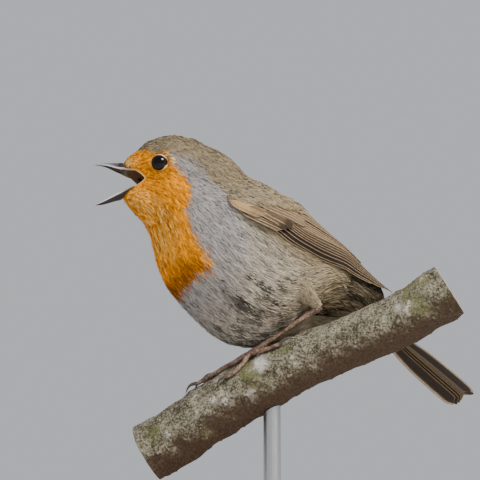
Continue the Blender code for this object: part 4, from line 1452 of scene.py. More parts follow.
def raised_sheet(station, degrees, half_length, half_width, height):
    """The body's surface, raised over one patch by a bell curve along it and a cosine across."""
    stations = np.linspace(station - half_length - 0.2, station + half_length + 0.8, 40)
    across = np.linspace(-1.1, 1.1, 81)
    bell = np.exp(-((stations[:, None] - station - 0.3) / (0.75 * half_length))**2)
    level = 0.3 + height * bell * np.cos(across * math.radians(75))[None, :]
    angles = np.radians(degrees + half_width * across)
    return Sheet(stations, angles, body_point(stations[:, None], angles[None, :], level), 1)


for side in MIRROR:
    rng = np.random.default_rng(83)
    down, around = even_places(THIGH_LOCKS)
    down = 0.12 + 0.84 * down
    grown = locks(thigh_sheet(side), down, 2 * math.pi * around,
                  (4.4 - 2.4 * down, 2.0 - 1.0 * down, -0.4, 0.9 - 0.55 * down, 0.28), rng, 3, 9,
                  tone=0.30 + 0.40 * rng.random(THIGH_LOCKS))
    marks = np.tile((0.0, 0.0, 0.0, 0.7), (THIGH_LOCKS, 1))
    lock_piece("coat_thigh_" + side, grown, marks, 0 * down, on_bake_map(around, down), coat_finish)

rng = np.random.default_rng(84)
for name, count, middle, degrees, half_length, half_width, height, first, last, aside, marks in RAISED:
    along, across = even_places(count)
    across = 2 * across - 1
    station = middle + half_length * (2 * along - 1)
    angle = np.radians(degrees + half_width * across)
    # Tone runs from start to end; on the tail coverts its fall is painted shade.
    tone = first + (last - first) * soft_step(along, 0.0, 0.55) + 0.5 * (rng.random(count) - 0.5)
    # A patch's sides are darkened: painted shade.
    tone = tone - aside * soft_step(np.abs(across), 0.35, 0.75)
    sheet = raised_sheet(middle, degrees, half_length, half_width, height)
    grown = locks(sheet, station, angle, (8.0, 2.4, -1.2, 0.0, 0.32), rng, 3, 10, tone=tone)
    lock_piece(name, grown, np.tile(marks, (count, 1)), 0 * station,
               on_bake_map(across / 2 + 0.5, along), coat_finish)

# %% [markdown]
# ## Flight feathers
# A wing or tail feather is a stiff shaft with a vane at each side, the outer vane narrower, and the
# closed wing is a stack of them, each showing little more than one edge.  Each feather is a surface:
# along its shaft, and across it with a slight camber, a raised shaft and a rounded tip.  The stack is
# laid on a sheet that follows the solid wing, with the inner feathers above the outer ones.

# %% One flight feather
VANE_ROWS = 30
VANE_COLUMNS = 11
OUTER_SHARE = 0.42             # the outer vane's width beside the inner one's
SHAFT_HEIGHT = 0.05
COVERT_SINK = 0.22
VANE_CAMBER = 0.07
VANE_THICKNESS = 0.06


def vane(sheet, start, end, width, level, outer=-1.0, tip=0.88, point=0.5, sink=0.0):
    """A feather on a sheet, laid by its outer edge, which runs straight from start to end.  Its
    width, told like the sheet's second parameter, grows over the first quarter and closes at the
    tip like an ellipse; across the inner vane, the height falls with the square of the distance
    from the shaft, which stands up as a narrow bell curve; a short feather sinks to its tip."""
    run = np.linspace(0, 1, VANE_ROWS)[:, None]
    across = np.linspace(-1, 1, VANE_COLUMNS)[None, :] * outer
    first = start[0] + (end[0] - start[0]) * run + 0 * across
    edge = start[1] + (end[1] - start[1]) * run
    closing = np.sqrt(np.clip(1 - (np.maximum(run - tip, 0) / (1 - tip))**2, 0, 1))**point
    wide = width * (0.35 + 0.65 * soft_step(run, 0.0, 0.25)) * np.maximum(closing, 0.05)
    aside = np.where(across < 0, OUTER_SHARE, 1.0) * across * wide
    second = edge - outer * (OUTER_SHARE * width + aside)
    _, stretch = sheet.stretch(first, second)
    shaft = SHAFT_HEIGHT * np.exp(-(across / 0.10)**2) * (1 - run)**0.5
    level = level - sink * run**2
    points = sheet.point(first, second, level - VANE_CAMBER * np.maximum(across, 0)**2 + shaft)
    middle = points[:, VANE_COLUMNS // 2]
    length = np.linalg.norm(middle[1:] - middle[:-1], axis=-1).sum()
    from_edge = (aside + OUTER_SHARE * wide) * stretch
    return points, np.stack([run * length + 0 * across, 0 * run + across], axis=-1), \
        np.stack([run + 0 * across, from_edge], axis=-1)

# %% Many feathers as one piece
def vanes_piece(name, feathers, finish, stands_for=()):
    """Feathers as one piece.  Each has its own strip of the bake map, its own place along and
    across its vane, its distance from the outer edge, and its own values: tone, darkness and the
    look of its tip."""
    count = len(feathers)
    each = VANE_ROWS * VANE_COLUMNS
    points = np.concatenate([feather[0].reshape(-1, 3) for feather in feathers])
    squares = grid_faces(VANE_ROWS, VANE_COLUMNS)
    faces = (squares[None] + each * np.arange(count)[:, None, None]).reshape(-1, 4)
    mesh = fill_mesh(name, in_row(points), [faces])
    places = np.concatenate([feather[1].reshape(-1, 2) for feather in feathers])
    add_map(mesh, "vane", places)
    run, from_edge = np.concatenate([feather[2].reshape(-1, 2) for feather in feathers]).T
    strip = (np.repeat(np.arange(count), each) + 0.5 + 0.46 * places[:, 1]) / count
    add_map(mesh, "OFBake", np.stack([strip, 0.02 + 0.96 * run], axis=-1))
    tones = np.repeat(np.array([feather[3] for feather in feathers]), each, axis=0)
    add_values(mesh, "tones", np.column_stack([run, tones]))
    add_values(mesh, "edges", np.column_stack([from_edge, run, 0 * run, 0 * run]))
    thing = add_piece(name, mesh, finish, stands_for)
    thick = thing.modifiers.new("vane_thickness", "SOLIDIFY")
    thick.thickness = VANE_THICKNESS * MM
    thick.offset = 0.0
    return thing


QUILL_BROWN = (0.20, 0.132, 0.078)
QUILL_DARK = (0.016, 0.011, 0.008)
QUILL_BUFF = (0.41, 0.295, 0.175)
QUILL_RUFOUS = (0.46, 0.28, 0.125)


def quill_finish(name, fringe=QUILL_BUFF):
    """Barbs slant from the shaft to the edges.  Each feather has a pale outer edge, a brown band
    and a nearly black middle; its own values say how dark it is and whether its tip is pale or
    dark, and a tone over one turns it buff."""
    finish = Finish(name, 0.6, Specular_IOR_Level=0.1)
    along, across = finish.uv("vane")[:2]
    run, tone, dark = finish.attribute("tones").parts()
    tip_look = finish.attribute("tones", 3)
    from_edge = finish.attribute("edges").parts()[0]
    barbs = ((along - across.size() * 2.2) * 15.0).wave()
    uneven = finish.place.noise(500.0, 3.0)
    streak = finish.place.noise(1500.0, 2.0)
    brown = (tone * 0.8 + uneven * 0.4).ramp(-0.1, 1.1).mix(QUILL_DARK, QUILL_BROWN)
    brown = tone.ramp(1.0, 1.3).mix(brown, QUILL_RUFOUS)
    middle = (from_edge + uneven * 0.15).ramp(0.50, 0.70)
    colour = (middle * dark).mix(brown, QUILL_DARK)
    rim = 1 - (from_edge + uneven * 0.12).ramp(0.30, 0.46)
    colour = (rim * 0.9).mix(colour, fringe)
    inner_rim = across.ramp(0.80, 0.97) * 0.5
    colour = inner_rim.mix(colour, QUILL_BUFF)
    tip_colour = (tip_look * 0.5 + 0.5).mix(QUILL_DARK, QUILL_BUFF)
    tip = (run + uneven * 0.10).ramp(0.66, 0.86) * tip_look.size()
    colour = tip.mix(colour, tip_colour)
    light = 0.30 + barbs * 0.50 + streak * 0.80
    finish.feed("Base Color", colour * light)
    return finish.bump(barbs, 0.00005)


# %% [markdown]
# ### The folded wing
# From the bend of the wing back: soft small coverts, the buff thumb feathers over the brown primary
# coverts and two dark ones, the greater coverts with pale tips, and then three tertials over five
# secondaries over eight primaries, whose tips make the wing's point.  Places on the wing are told by
# a row along it, from 0 at the wrist to 11 at the tip, and by a share from its lower edge to its
# upper one.

# %% Lay the wings
def wing_sheet(sign):
    """The wing's outer face on a grid of rows and shares, as the solid wing has it."""
    rows = np.linspace(-0.4, 11.0, 120)
    shares = np.linspace(-0.35, 1.25, 41)
    station, lower, upper, level = spline(WING_ROWS, np.maximum(rows, 0)).T[:, :, None]
    station = station + np.minimum(rows, 0)[:, None] * 0.5
    degrees = lower + (upper - lower) * shares[None, :]
    inside = np.clip(shares, 0.02, 0.98)[None, :]
    bulge = np.sin(math.pi * inside)**0.5
    beyond = np.maximum(np.abs(shares - 0.5) - 0.5, 0)[None, :]
    height = np.maximum(level - 0.5 * (1 - bulge) - 1.6 * beyond, 0.25)
    points = body_point(station, sign * np.radians(degrees), height)
    return Sheet(rows, shares, points, -sign)


PRIMARY_TIPS = ((9.6, 0.0), (10.95, 0.05), (11.0, 0.14), (10.7, 0.23), (10.25, 0.32), (9.75, 0.40),
                (9.2, 0.50), (8.6, 0.60))
PRIMARY_ROOTS = (0.0, 0.04, 0.13, 0.21, 0.25, 0.29, 0.33, 0.37)
SCAPULAR_LOCKS = 900
PRIMARY_FRINGE = 1.6           # the primaries' pale edges are this much narrower
FEATHER_SETS = (               # all told by row and share: roots and tips of the outer edges, width,
    # first and last height in mm, tone, dark, look of the tip
    ("secondaries", 5, (3.2, 0.44), (3.7, 0.64), (8.4, 0.52), (7.4, 0.70), 0.25,
     -0.52, -0.20, 0.90, 0.50, 0.0),
    # A feather under the tertials whose near-black middle is painted shadow along their lower edge.
    ("under_tertial_shadow", 1, (3.1, 0.62), (3.1, 0.62), (8.2, 0.60), (8.2, 0.60), 0.25,
     -0.12, -0.12, 0.4, 1.0, 0.0),
    ("tertials", 3, (3.0, 0.70), (3.0, 0.92), (8.2, 0.66), (5.6, 0.90), 0.26,
     -0.04, 0.16, 0.95, 0.15, 0.0),
    ("primary_coverts", 5, (1.2, 0.03), (1.9, 0.28), (3.3, 0.05), (3.8, 0.30), 0.14,
     -0.10, 0.12, 0.85, 0.60, -0.35),
    ("greater_coverts", 8, (1.8, 0.46), (1.8, 1.0), (4.3, 0.48), (4.1, 1.0), 0.12,
     0.18, 0.36, 1.0, 0.25, 0.35),
    ("dark_coverts", 2, (2.1, 0.23), (2.3, 0.30), (3.55, 0.17), (3.7, 0.25), 0.12,
     0.40, 0.44, 0.7, 0.3, -0.9),
    ("dark_thumb_feather", 1, (1.5, 0.28), (1.5, 0.28), (2.85, 0.25), (2.85, 0.25), 0.10,
     0.50, 0.50, 1.00, 0.2, -0.3),
    ("thumb_feathers", 2, (-0.1, 0.04), (0.1, 0.13), (2.15, 0.13), (2.45, 0.20), 0.16,
     0.50, 0.58, 1.35, 0.05, -0.45),
)


def wing_feathers(sheet, rng):
    """Every flight feather of one wing, from the lowest layer to the top one."""
    plan = [((2.4 + 0.15 * number, root), tip, 0.38, -1.15 + 0.08 * number, 0.75, 1.15 - 0.07 * number, 0.0)
            for number, (root, tip) in enumerate(zip(PRIMARY_ROOTS, PRIMARY_TIPS))]
    for _, count, root_a, root_b, tip_a, tip_b, width, low, high, tone, dark, tip in FEATHER_SETS:
        for share in np.linspace(0, 1, count):
            plan.append((np.array(root_a) + (np.array(root_b) - root_a) * share,
                         np.array(tip_a) + (np.array(tip_b) - tip_a) * share,
                         width, low + (high - low) * share, tone, dark, tip))
    feathers = []
    for root, end, width, level, tone, dark, tip in plan:
        end = (end[0] + rng.normal(0, 0.04), end[1] + rng.normal(0, 0.006))
        own = (tone + rng.normal(0, 0.06), dark, tip)
        sink = COVERT_SINK if width < 0.2 else 0.0
        points, places, edges = vane(sheet, root, end, width, level, sink=sink)
        if width > 0.3:
            edges = edges * (1.0, PRIMARY_FRINGE)
        feathers.append((points, places, edges, own))
    return feathers


# %% Build the wings
def scapulars(side, sheet, rng):
    """Short loose locks over the wing's upper edge, where the back's feathers lap over it."""
    along, across = even_places(SCAPULAR_LOCKS)
    rows = 5.0 * along - 0.4
    shares = 0.34 + 0.86 * across
    keep = rows < 4.0 * soft_step(shares, 0.36, 0.90) - 0.2
    rows, shares = rows[keep], shares[keep]
    grown = locks(sheet, rows, shares, (3.2 + 1.4 * shares, 1.6, 0.15 + 0 * shares,
                                        0.62 + 0.08 * rng.normal(0, 1, len(rows)), 0.28), rng, 3, 9,
                  tone=np.clip(0.42 + 0.8 * (rng.random(len(rows)) - 0.5), 0, 1))
    marks = np.tile((0.0, 0.06, 1.0, 0.5), (len(rows), 1))
    bake = np.stack([(shares - 0.3) / 1.1, (rows + 0.6) / 5.6], axis=-1)
    lock_piece("scapulars_" + side, grown, marks, 0.08 * soft_step(rows, 1.5, 3.5), bake, coat_finish)


wing_finish = quill_finish("wing_vanes")
for number, (side, sign) in enumerate(MIRROR.items()):
    sheet = wing_sheet(sign)
    rng = np.random.default_rng(40 + number)
    vanes_piece("wing_feathers_" + side, wing_feathers(sheet, rng), wing_finish, ("wing_" + side,))
    scapulars(side, sheet, rng)

# %% [markdown]
# ### The tail
# Twelve feathers, closed: the middle pair lies on top and each next one a little lower and further
# out, so that from below the outermost shows whole.  They lie on a flat sheet that follows the solid
# tail, turned a little as the bird holds it.

# %% Lay the tail
TAIL_BASE = np.array([22.7, 0.0, 25.5])
TAIL_TIP = np.array([69.8, 0.0, -14.5])
TAIL_ROLL = math.radians(4.0)
TAIL_YAW = math.radians(5.0)
TAIL_HALF = (5.4, 9.3, 11.3, 11.9, 12.0, 11.6)     # half widths from root to tip
TAIL_START = 14.0
TAIL_COVERED = 28.2            # how far along its half widths begin
ROOT_WIDENS = 28.0             # and how far its root widens towards them
TAIL_PAIRS = 6
TAIL_FEATHER_WIDTH = 0.48
OUTER_FRINGE = 0.22            # the outermost feathers' pale edge is wide: its places are drawn in
INNER_FRINGE = 1.35            # and the others' edges are narrow
TAIL_FRINGE = (0.54, 0.44, 0.33)


def tail_sheet():
    """The tail's middle layer: millimetres along it, and a share of its half width across."""
    length = np.linalg.norm(TAIL_TIP - TAIL_BASE)
    along = (TAIL_TIP - TAIL_BASE) / length
    upward = np.array([-along[2], 0.0, along[0]])
    side = np.array([0.0, 1.0, 0.0]) * math.cos(TAIL_ROLL) - upward * math.sin(TAIL_ROLL)
    top = np.cross(side, -along)
    along, side = (along * math.cos(TAIL_YAW) - side * math.sin(TAIL_YAW),
                   side * math.cos(TAIL_YAW) + along * math.sin(TAIL_YAW))
    reach = np.linspace(0, length + 2, 60)
    shares = np.linspace(-1.3, 1.3, 41)
    part = np.clip((reach - TAIL_COVERED) / (length - TAIL_COVERED), 0, 1)
    half = spline(np.array(TAIL_HALF)[:, None], part * (len(TAIL_HALF) - 1))
    half = half * np.interp(reach, (0, ROOT_WIDENS), (0.55, 1.0))[:, None]
    points = (TAIL_BASE + reach[:, None, None] * along + (half * shares)[..., None] * side
              - (0.9 * shares**2)[None, :, None] * top)
    print("tail along, mm:", round(length, 1))
    return Sheet(reach, shares, points, 1.0 if np.cross(along, side) @ top > 0 else -1.0), length


tail, tail_length = tail_sheet()
rng = np.random.default_rng(61)
feathers = []
for pair in range(TAIL_PAIRS):
    for sign in (-1.0, 1.0):
        share = 1 - pair / (TAIL_PAIRS - 1)
        root = (TAIL_START, sign * (0.30 + 0.62 * share))
        end = (tail_length - 0.3 - 1.3 * (1 - share)**2 - 1.0 * share**6,
               sign * (0.32 + 0.66 * share))
        level = 0.42 - 0.95 * share + 0.05 * sign
        own = (0.34 + rng.normal(0, 0.05), 0.8, 0.0)
        points, places, edges = vane(tail, root, end, TAIL_FEATHER_WIDTH, level, outer=sign,
                                     tip=0.93, point=0.75)
        edges = edges * (1.0, OUTER_FRINGE if pair == 0 else INNER_FRINGE)
        feathers.append((points, places, edges, own))
vanes_piece("tail_feathers", feathers, quill_finish("tail_vanes", TAIL_FRINGE), ("tail",))

# %% [markdown]
# ## The perch
# A cut length of a young branch: thin brown bark with fine ridges, small raised pores and a few
# scars, and over its top and sides a crust of algae and pale lichen.  It is a tube along the solid's
# own middle line, its radius stirred by a sum of waves that never repeat, and its sawn ends are
# nearly flat discs with growth rings.

# %% Follow the branch
PERCH = (                      # centre line x, y, z and radius, low end to high end
    (-31.5, 16.8, -32.0, 9.5), (-23.2, 12.2, -26.9, 9.4), (-11.5, 5.4, -18.5, 9.3),
    (0.1, -1.0, -11.4, 9.2), (11.1, -6.9, -5.2, 8.8), (22.5, -12.6, -0.2, 8.4),
    (38.6, -20.6, 6.6, 8.5), (50.1, -26.9, 13.7, 8.7), (54.5, -29.3, 16.6, 8.8),
)
CUT_RINGS = 11
CUT_BULGE = 0.25               # how far a sawn end's middle stands out, in mm
BARK_GRID = (420, 180)         # rings along the branch, and points round it
SCARS = (                      # where, how wide in mm, and how far out
    ((2.0, -9.6, -10.0), 2.6, -0.35), ((-13.0, -2.5, -14.5), 1.8, 0.5),
    ((30.0, -22.0, 10.5), 2.2, 0.45), ((18.0, -19.0, -6.5), 1.6, -0.3),
)


def bark_rings():
    """Rings round the branch, each point pushed out by ridges, pores, scars and lichen crusts."""
    line = spline(PERCH, np.linspace(0, len(PERCH) - 1, BARK_GRID[0]))
    smooth = tube_points(line[:, :3], line[:, 3] - 0.15, BARK_GRID[1])
    outward = smooth - line[:, None, :3]
    outward /= np.linalg.norm(outward, axis=-1, keepdims=True)
    ridges = 0.10 * stirred(smooth * (0.35, 0.35, 1.0), 2.4, 1)
    lumps = 0.22 * stirred(smooth, 9.0, 2)
    crust = soft_step(stirred(smooth, 3.4, 3) + 0.5 * stirred(smooth, 1.1, 4), 0.7, 1.3) * 0.22
    pores = soft_step(stirred(smooth, 1.3, 5), 1.9, 2.4) * 0.25
    scars = np.zeros(smooth.shape[:-1])
    for place, size, deep in SCARS:
        away = np.linalg.norm(smooth - np.array(place), axis=-1) / size
        scars += deep * (np.exp(-away**2) - 0.6 * np.exp(-(away - 1.2)**2 * 6))
    return smooth + outward * (ridges + lumps + crust + pores + scars)[..., None]


LICHEN = (                     # pale rosettes: where, in the bird's frame, and how wide, in mm
    ((-1.9, -9.1, -5.8), 4.2), ((-4.0, -8.4, -15.6), 2.6), ((-11.8, -4.9, -17.6), 2.0),
    ((38.0, -28.0, 10.0), 2.6), ((24.0, -4.0, 2.0), 3.4),
)


def bark_finish():
    """Brown bark below; on the sides and top a crust of algae and lichen, mottled at three sizes:
    pale grey grains, olive green patches and dark specks between them, and a few pale rosettes."""
    finish = Finish("bark_lichen", 0.95, Specular_IOR_Level=0.1)
    upward = finish.start.node("ShaderNodeNewGeometry", out=1).parts()[2]
    broad = finish.place.noise(70.0, 4.0, 0.6)
    patches = finish.place.noise(230.0, 4.0, 0.65)
    grain = finish.place.noise(1400.0, 4.0, 0.7)
    bark = grain.ramp(0.35, 0.65).mix((0.064, 0.042, 0.028), (0.108, 0.074, 0.050))
    crust = (grain * 0.65 + patches * 0.35).ramp(0.40, 0.60)
    crust = crust.mix((0.052, 0.045, 0.026), (0.29, 0.26, 0.195))
    green = broad.ramp(0.52, 0.64) * 0.65
    crust = green.mix(crust, (0.120, 0.122, 0.042))
    crust = (patches.ramp(0.60, 0.68) * grain.ramp(0.42, 0.54) * 0.8).mix(crust, (0.50, 0.48, 0.42))
    for spot, size in LICHEN:
        away = finish.place - tuple((np.array(spot) + BIRD) * MM)
        away = away.node("ShaderNodeVectorMath", {"operation": "LENGTH"}, {0: away}, 1)
        rosette = 1 - (away * (1000.0 / size) + patches * 1.6 + grain).ramp(1.60, 2.20)
        crust = (rosette * grain.ramp(0.30, 0.50) * 0.85).mix(crust, (0.56, 0.52, 0.48))
    grown = (upward + broad * 0.7 + patches * 0.5 + grain * 0.3).ramp(0.15, 0.75)
    colour = grown.mix(bark, crust)
    finish.feed("Base Color", colour)
    return finish.bump(grain * 0.7 + patches * 0.6, 0.0008)


def end_grain():
    """Sawn wood: growth rings round the branch's middle, under a brown rim of bark."""
    finish = Finish("sawn_end", 0.7)
    along, across = finish.uv("disc")[:2]
    reach = (along ** 2 + across ** 2) ** 0.5
    uneven = finish.place.noise(160.0, 3.0)
    rings = (reach * 62.0 + uneven * 4.0).wave()
    colour = rings.mix((0.60, 0.46, 0.28), (0.42, 0.29, 0.16))
    colour = reach.ramp(0.86, 0.92).mix(colour, (0.16, 0.11, 0.07))
    finish.feed("Base Color", colour)
    return finish.bump(rings, 0.00008)


# %% Build the branch
def sawn_disc(ring, neighbour):
    """A disc over the branch's end: rings drawn in to its middle, level inside and rounded off at
    the rim by an eighth power."""
    middle = ring.mean(axis=0)
    outward = middle - neighbour.mean(axis=0)
    outward /= np.linalg.norm(outward)
    shares = np.linspace(0, 1, CUT_RINGS + 1)[1:, None, None]
    disc = middle + (ring - middle) * shares + outward * CUT_BULGE * (1 - shares**8)
    return np.concatenate([disc.reshape(-1, 3), [middle + outward * CUT_BULGE]])


rings = bark_rings()
count, sides = rings.shape[:2]
mesh = fill_mesh("branch_bark", in_row(rings.reshape(-1, 3)), [grid_faces(count, sides, closed=True)])
add_piece("branch_bark", turned_out(mesh), bark_finish(), ("perch",))
spot = np.arange(sides)
fan = np.stack([np.full(sides, CUT_RINGS * sides), spot, (spot + 1) % sides], axis=-1)
disc_faces = [grid_faces(CUT_RINGS, sides, closed=True), fan]
circle = np.stack([np.cos(turns(sides)), np.sin(turns(sides))], axis=-1)
places = (np.linspace(0, 1, CUT_RINGS + 1)[1:, None, None] * circle).reshape(-1, 2)
cut_finish = end_grain()
for name, ring, neighbour in (("branch_end_low", rings[0], rings[1]),
                              ("branch_end_high", rings[-1], rings[-2])):
    mesh = fill_mesh(name, in_row(sawn_disc(ring, neighbour)), disc_faces)
    add_map(mesh, "disc", np.concatenate([places, [(0.0, 0.0)]]))
    add_piece(name, mesh, cut_finish)

# %% [markdown]
# ## Legs and feet
# A robin's legs are long, thin and scaly: broad plates run down the front of the shank and over the
# toes, which grip the bark with curved dark claws.  Shank and toes are tubes whose radius swells and
# dips at each plate, set on the same lines as the solids.

# %% Places over the bark
def perch_frame(along):
    """Centre, crownward and sideward directions and radius at a place along the perch in mm,
    counted from its fourth point."""
    table = np.asarray(PERCH, float)
    lengths = np.linalg.norm(np.diff(table[:, :3], axis=0), axis=1)
    places = np.concatenate([[0.0], np.cumsum(lengths)])
    rows = np.interp(along, places - places[3], np.arange(len(places)))
    here = spline(table, rows)
    direction = spline(table, rows + 0.05)[..., :3] - spline(table, rows - 0.05)[..., :3]
    direction /= np.linalg.norm(direction, axis=-1, keepdims=True)
    side = np.cross(direction, np.array([0.0, 0.0, 1.0]))
    side /= np.linalg.norm(side, axis=-1, keepdims=True)
    return here[..., :3], np.cross(side, direction), side, here[..., 3]


def over_perch(along, degrees, height):
    """Points over the bark: place along the perch, degrees from its crown, height in mm."""
    centre, crown, side, radius = perch_frame(along)
    turn = np.radians(degrees)[..., None]
    return centre + (crown * np.cos(turn) + side * np.sin(turn)) * (radius + height)[..., None]


# %% Scaly tubes
FEET = {                       # place along the perch and degrees from its crown
    "left": (3.2, 30.0),
    "right": (-1.0, -22.0),
}
TOES = {                       # reach along the perch, degrees at its tip, radius
    "left": {"inner": (-14.5, 5.0, 0.62), "middle": (-19.5, 20.0, 0.70),
             "outer": (-9.5, 60.0, 0.66), "hind": (9.5, 46.0, 0.70)},
    "right": {"inner": (-13.5, -8.0, 0.62), "middle": (-18.0, -22.0, 0.70),
              "outer": (-12.5, -52.0, 0.66), "hind": (8.0, -40.0, 0.70)},
}
FOOT_LIFT = 1.25               # how high over the bark shank and toes meet
KNUCKLE_RADIUS = 1.12
SHANK_RADII = (1.25, 1.05, 0.78, 0.72, 0.72, 0.78, 0.95, 1.05)
CLAW_LENGTHS = {"inner": 4.6, "middle": 4.6, "outer": 4.6, "hind": 5.6}


def foot_joint(side):
    """Where the shank meets the toes."""
    along, degrees = (np.array([value]) for value in FEET[side])
    return over_perch(along, degrees, np.array([FOOT_LIFT]))[0]


def plates(run, count):
    """A saw of soft steps: each plate swells towards its lower rim and then drops."""
    part = (run * count) % 1
    return part**1.5 - np.exp(-part * 20.0) * 0.5


def shank(side):
    """The bare leg from under the thigh's feathers to the foot, with plates in front."""
    heel = np.array(THIGHS[side][1])
    joint = foot_joint(side)
    run = np.linspace(-0.02, 1.0, 150)
    bow = np.array([0.9, 0.0, 0.5]) * np.sin(math.pi * np.clip(run, 0, 1))[:, None] * 0.25
    path = heel + (joint - heel) * run[:, None] + bow
    radii = taper(run, SHANK_RADII)
    turn = turns(28)[None, :]
    front = soft_step(np.cos(turn - math.pi / 2), -0.2, 0.5)
    rings = radii[:, None] * (1 + 0.07 * plates(run, 9)[:, None] * front
                              + 0.03 * np.sin(run * 150)[:, None] * (1 - front))
    return closed_tube(tube_points(path, rings, 28, out=(-0.8, 0.0, 0.6)))


def toe(side, name):
    """A toe: pads swell below between its joints, and rings of scales run over its back."""
    along, degrees = FEET[side]
    reach, end_degrees, radius = TOES[side][name]
    run = np.linspace(0, 1, 90)
    ease = soft_step(run, 0.0, 0.4)
    height = FOOT_LIFT + (radius + 0.12 - FOOT_LIFT) * ease
    spread = 1 - (1 - run)**2
    path = over_perch(along + reach * run, degrees + (end_degrees - degrees) * spread,
                      height + 0.16 * np.abs(np.sin(run * math.pi * 3)))
    centre = perch_frame(along + reach * run)[0]
    out = (path - centre) / np.linalg.norm(path - centre, axis=-1, keepdims=True)
    turn = turns(20)[None, :]
    above = soft_step(np.sin(turn), -0.1, 0.6)
    joints = 0.13 * np.abs(np.sin(run * math.pi * 3))[:, None] * (1 - above)
    rings = radius * (1.15 - 0.33 * run)[:, None] * (1 + 0.06 * plates(run, 12)[:, None] * above
                                                    + joints)
    return closed_tube(tube_points(path, rings, 20, out=out.mean(axis=0)))

# %% Claws, scaly skin and horn
def claw(side, name):
    """A claw: a tapering tube that arches up and comes down to a point, deeper than wide."""
    along, _ = FEET[side]
    reach, end_degrees, radius = TOES[side][name]
    way = math.copysign(1.0, reach)
    length = CLAW_LENGTHS[name]
    run = np.linspace(0, 1, 30)
    height = (radius + 0.15) * (1 - run) + 0.35 * run + 1.1 * np.sin(math.pi * run)
    path = over_perch(along + reach + way * (length * run - 0.35), end_degrees + 0 * run, height)
    radii = radius * 0.74 * (1 - run)**0.7 + 0.05
    return closed_tube(tube_points(path, radii, 16, flat=1.15))


def scaly_skin():
    """Thin brown-pink scales, mottled, with dark seams between them."""
    finish = Finish("leg_scales", 0.5, Specular_IOR_Level=0.25)
    cells = finish.place.cells(900.0, "DISTANCE_TO_EDGE")
    uneven = finish.place.noise(350.0, 3.0)
    colour = uneven.ramp(0.35, 0.65).mix((0.125, 0.075, 0.052), (0.30, 0.195, 0.14))
    colour = ((1 - cells.ramp(0.0, 0.14)) * 0.7).mix(colour, (0.045, 0.026, 0.020))
    finish.feed("Base Color", colour)
    return finish.bump(cells.ramp(0.0, 0.2), 0.00010)


def claw_finish():
    """Dark horn with fine streaks from noise."""
    finish = Finish("claw_horn", 0.32, Coat_Weight=0.2)
    streaks = finish.place.noise(2200.0, 2.0)
    finish.feed("Base Color", streaks.mix((0.035, 0.026, 0.02), (0.10, 0.07, 0.05)))
    return finish.bump(streaks, 0.00004)


# %% [markdown]
# ### Feet put together
# The toes and the small knuckle they spring from are closed tubes that run into each other, so each
# foot is one piece, and each claw is one of its own.

# %% Build legs, feet and claws
def knuckle(side):
    """A small ball where shank and toes meet."""
    tilt = np.linspace(0.1, math.pi - 0.1, 16)[:, None]
    turn = turns(24)[None, :]
    ball = np.stack([np.sin(tilt) * np.cos(turn), np.sin(tilt) * np.sin(turn),
                     np.cos(tilt) + 0 * turn], axis=-1)
    return closed_tube(foot_joint(side) + KNUCKLE_RADIUS * ball)


def joined(tubes):
    """The points and faces of several closed tubes as those of one mesh."""
    before = np.cumsum([0] + [len(points) for points, _ in tubes])
    faces = [np.concatenate([sets[kind] + start for (_, sets), start in zip(tubes, before)])
             for kind in (0, 1)]
    return np.concatenate([points for points, _ in tubes]), faces


scale_finish = scaly_skin()
dark_finish = claw_finish()
for side in MIRROR:
    add_piece("shank_" + side, closed_mesh("shank", *shank(side)), scale_finish,
              ("tarsus_" + side,))
    foot = joined([toe(side, name) for name in TOES[side]] + [knuckle(side)])
    add_piece("toes_" + side, closed_mesh("toes", *foot), scale_finish, ("foot_" + side,))
    for name in TOES[side]:
        add_piece(f"talon_{side}_{name}", closed_mesh("claw", *claw(side, name)), dark_finish,
                  (f"claw_{side}_{name}",))

# %% [markdown]
# ## The stand
# A turned disc of oiled wood with a softly rounded rim, and a brushed steel rod that ends in a small
# collar.  The disc is one profile carried round: its grain is not a ring pattern but long streaks,
# since such a disc is cut from a plank.  The rod's solid is right as it is and gets a better finish.

# %% Turn the base, brush the rod
RIM = 1.7                      # the base's rounding, in mm
STAND_SIDES = 144
STAND_EDGE = math.radians(40)          # steeper edges of the stand stay sharp
COLLAR = (                     # the collar's profile: radius, and height over its own foot
    (3.4, 0.0), (4.7, 0.05), (4.95, 0.3), (4.95, 1.5), (4.6, 1.95), (3.4, 2.1), (3.0, 2.1),
    (2.85, 1.0),
)
COLLAR_SINK = 0.28             # how far its foot lies under the rod's


def base_profile():
    """From the middle of the top, round the rim and back to the middle below."""
    low, high = (np.array(corner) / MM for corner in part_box("stand_base"))
    radius = (high[0] - low[0]) / 2
    top = high[2]
    turn = np.radians(np.linspace(90, 0, 12))
    flat = np.linspace(0.5, radius - RIM - 3.0, 10)
    profile = [(reach, top) for reach in flat]
    profile += [(radius - RIM - 2.6, top - 0.12), (radius - RIM - 2.2, top - 0.30),
                (radius - RIM - 1.8, top - 0.12), (radius - RIM - 1.2, top)]
    profile += list(zip(radius - RIM + RIM * np.cos(turn), top - RIM + RIM * np.sin(turn)))
    profile += [(radius, 1.0), (radius - 0.3, 0.3), (radius - 1.0, 0.0), (radius * 0.5, 0.0),
                (0.5, 0.0)]
    return np.array(profile)

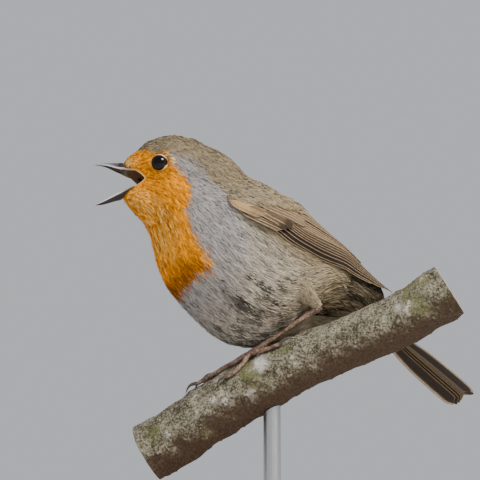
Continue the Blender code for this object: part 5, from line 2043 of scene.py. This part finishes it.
# %% Wood and steel
def oiled_wood():
    """Long grain: stretched noise bends a row of lines, with fine pores and a satin oil."""
    finish = Finish("oiled_wood", 0.42, Coat_Weight=0.12, Coat_Roughness=0.3)
    grain = finish.place.stretched((0.12, 1.0, 1.0))
    bend = grain.noise(45.0, 3.0)
    lines = grain.noise(240.0, 5.0, 0.6)
    pores = grain.noise(1500.0, 2.0)
    colour = (bend * 0.6 + lines * 0.5).ramp(0.35, 0.72).mix((0.24, 0.125, 0.06), (0.46, 0.28, 0.145))
    colour = (pores.ramp(0.60, 0.72) * 0.5).mix(colour, (0.12, 0.06, 0.03))
    finish.feed("Base Color", colour)
    finish.feed("Roughness", 0.36 + lines * 0.18)
    return finish.bump(lines * 0.5 + pores * 0.5, 0.00008)


def brushed_steel():
    """Fine lines round the rod, from noise squeezed along it."""
    finish = Finish("brushed_steel", 0.3, Metallic=1.0)
    lines = finish.place.stretched((0.1, 0.1, 1.0)).noise(9000.0, 2.0)
    finish.feed("Base Color", lines.mix((0.50, 0.50, 0.51), (0.64, 0.64, 0.65)))
    finish.feed("Roughness", 0.24 + lines * 0.2)
    return finish.bump(lines, 0.00002)

# %% Turn the base and the collar
def lathe(profile):
    """Rings of a profile of radius and height, carried round the stand's axis."""
    turn = turns(STAND_SIDES)[None, :]
    return np.stack([profile[:, :1] * np.cos(turn), profile[:, :1] * np.sin(turn),
                     profile[:, 1:] + 0 * turn], axis=-1)


points, faces = closed_tube(lathe(base_profile()))
mesh = turned_out(fill_mesh("turned_base", points * MM, faces))
mesh.set_sharp_from_angle(angle=STAND_EDGE)
add_piece("turned_base", mesh, oiled_wood(), ("stand_base",))
steel = brushed_steel()
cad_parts["stand_rod"].material_slots[0].material = steel.material

rod_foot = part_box("stand_rod")[0][2] / MM
rings = lathe(np.array(COLLAR) + (0.0, rod_foot - COLLAR_SINK))
rings = np.concatenate([rings, rings[:1]])
mesh = fill_mesh("rod_collar", rings.reshape(-1, 3) * MM,
                 [grid_faces(len(rings), STAND_SIDES, closed=True)])
mesh = turned_out(mesh, merge=1e-7)
mesh.set_sharp_from_angle(angle=STAND_EDGE)
add_piece("rod_collar", mesh, steel)

# %% Sizes, and the last line
visual_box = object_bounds()
for name, (low, high) in (("solids", cad_box), ("visual", visual_box)):
    print(name, [round((b - a) * 1000, 1) for a, b in zip(low, high)], "mm")
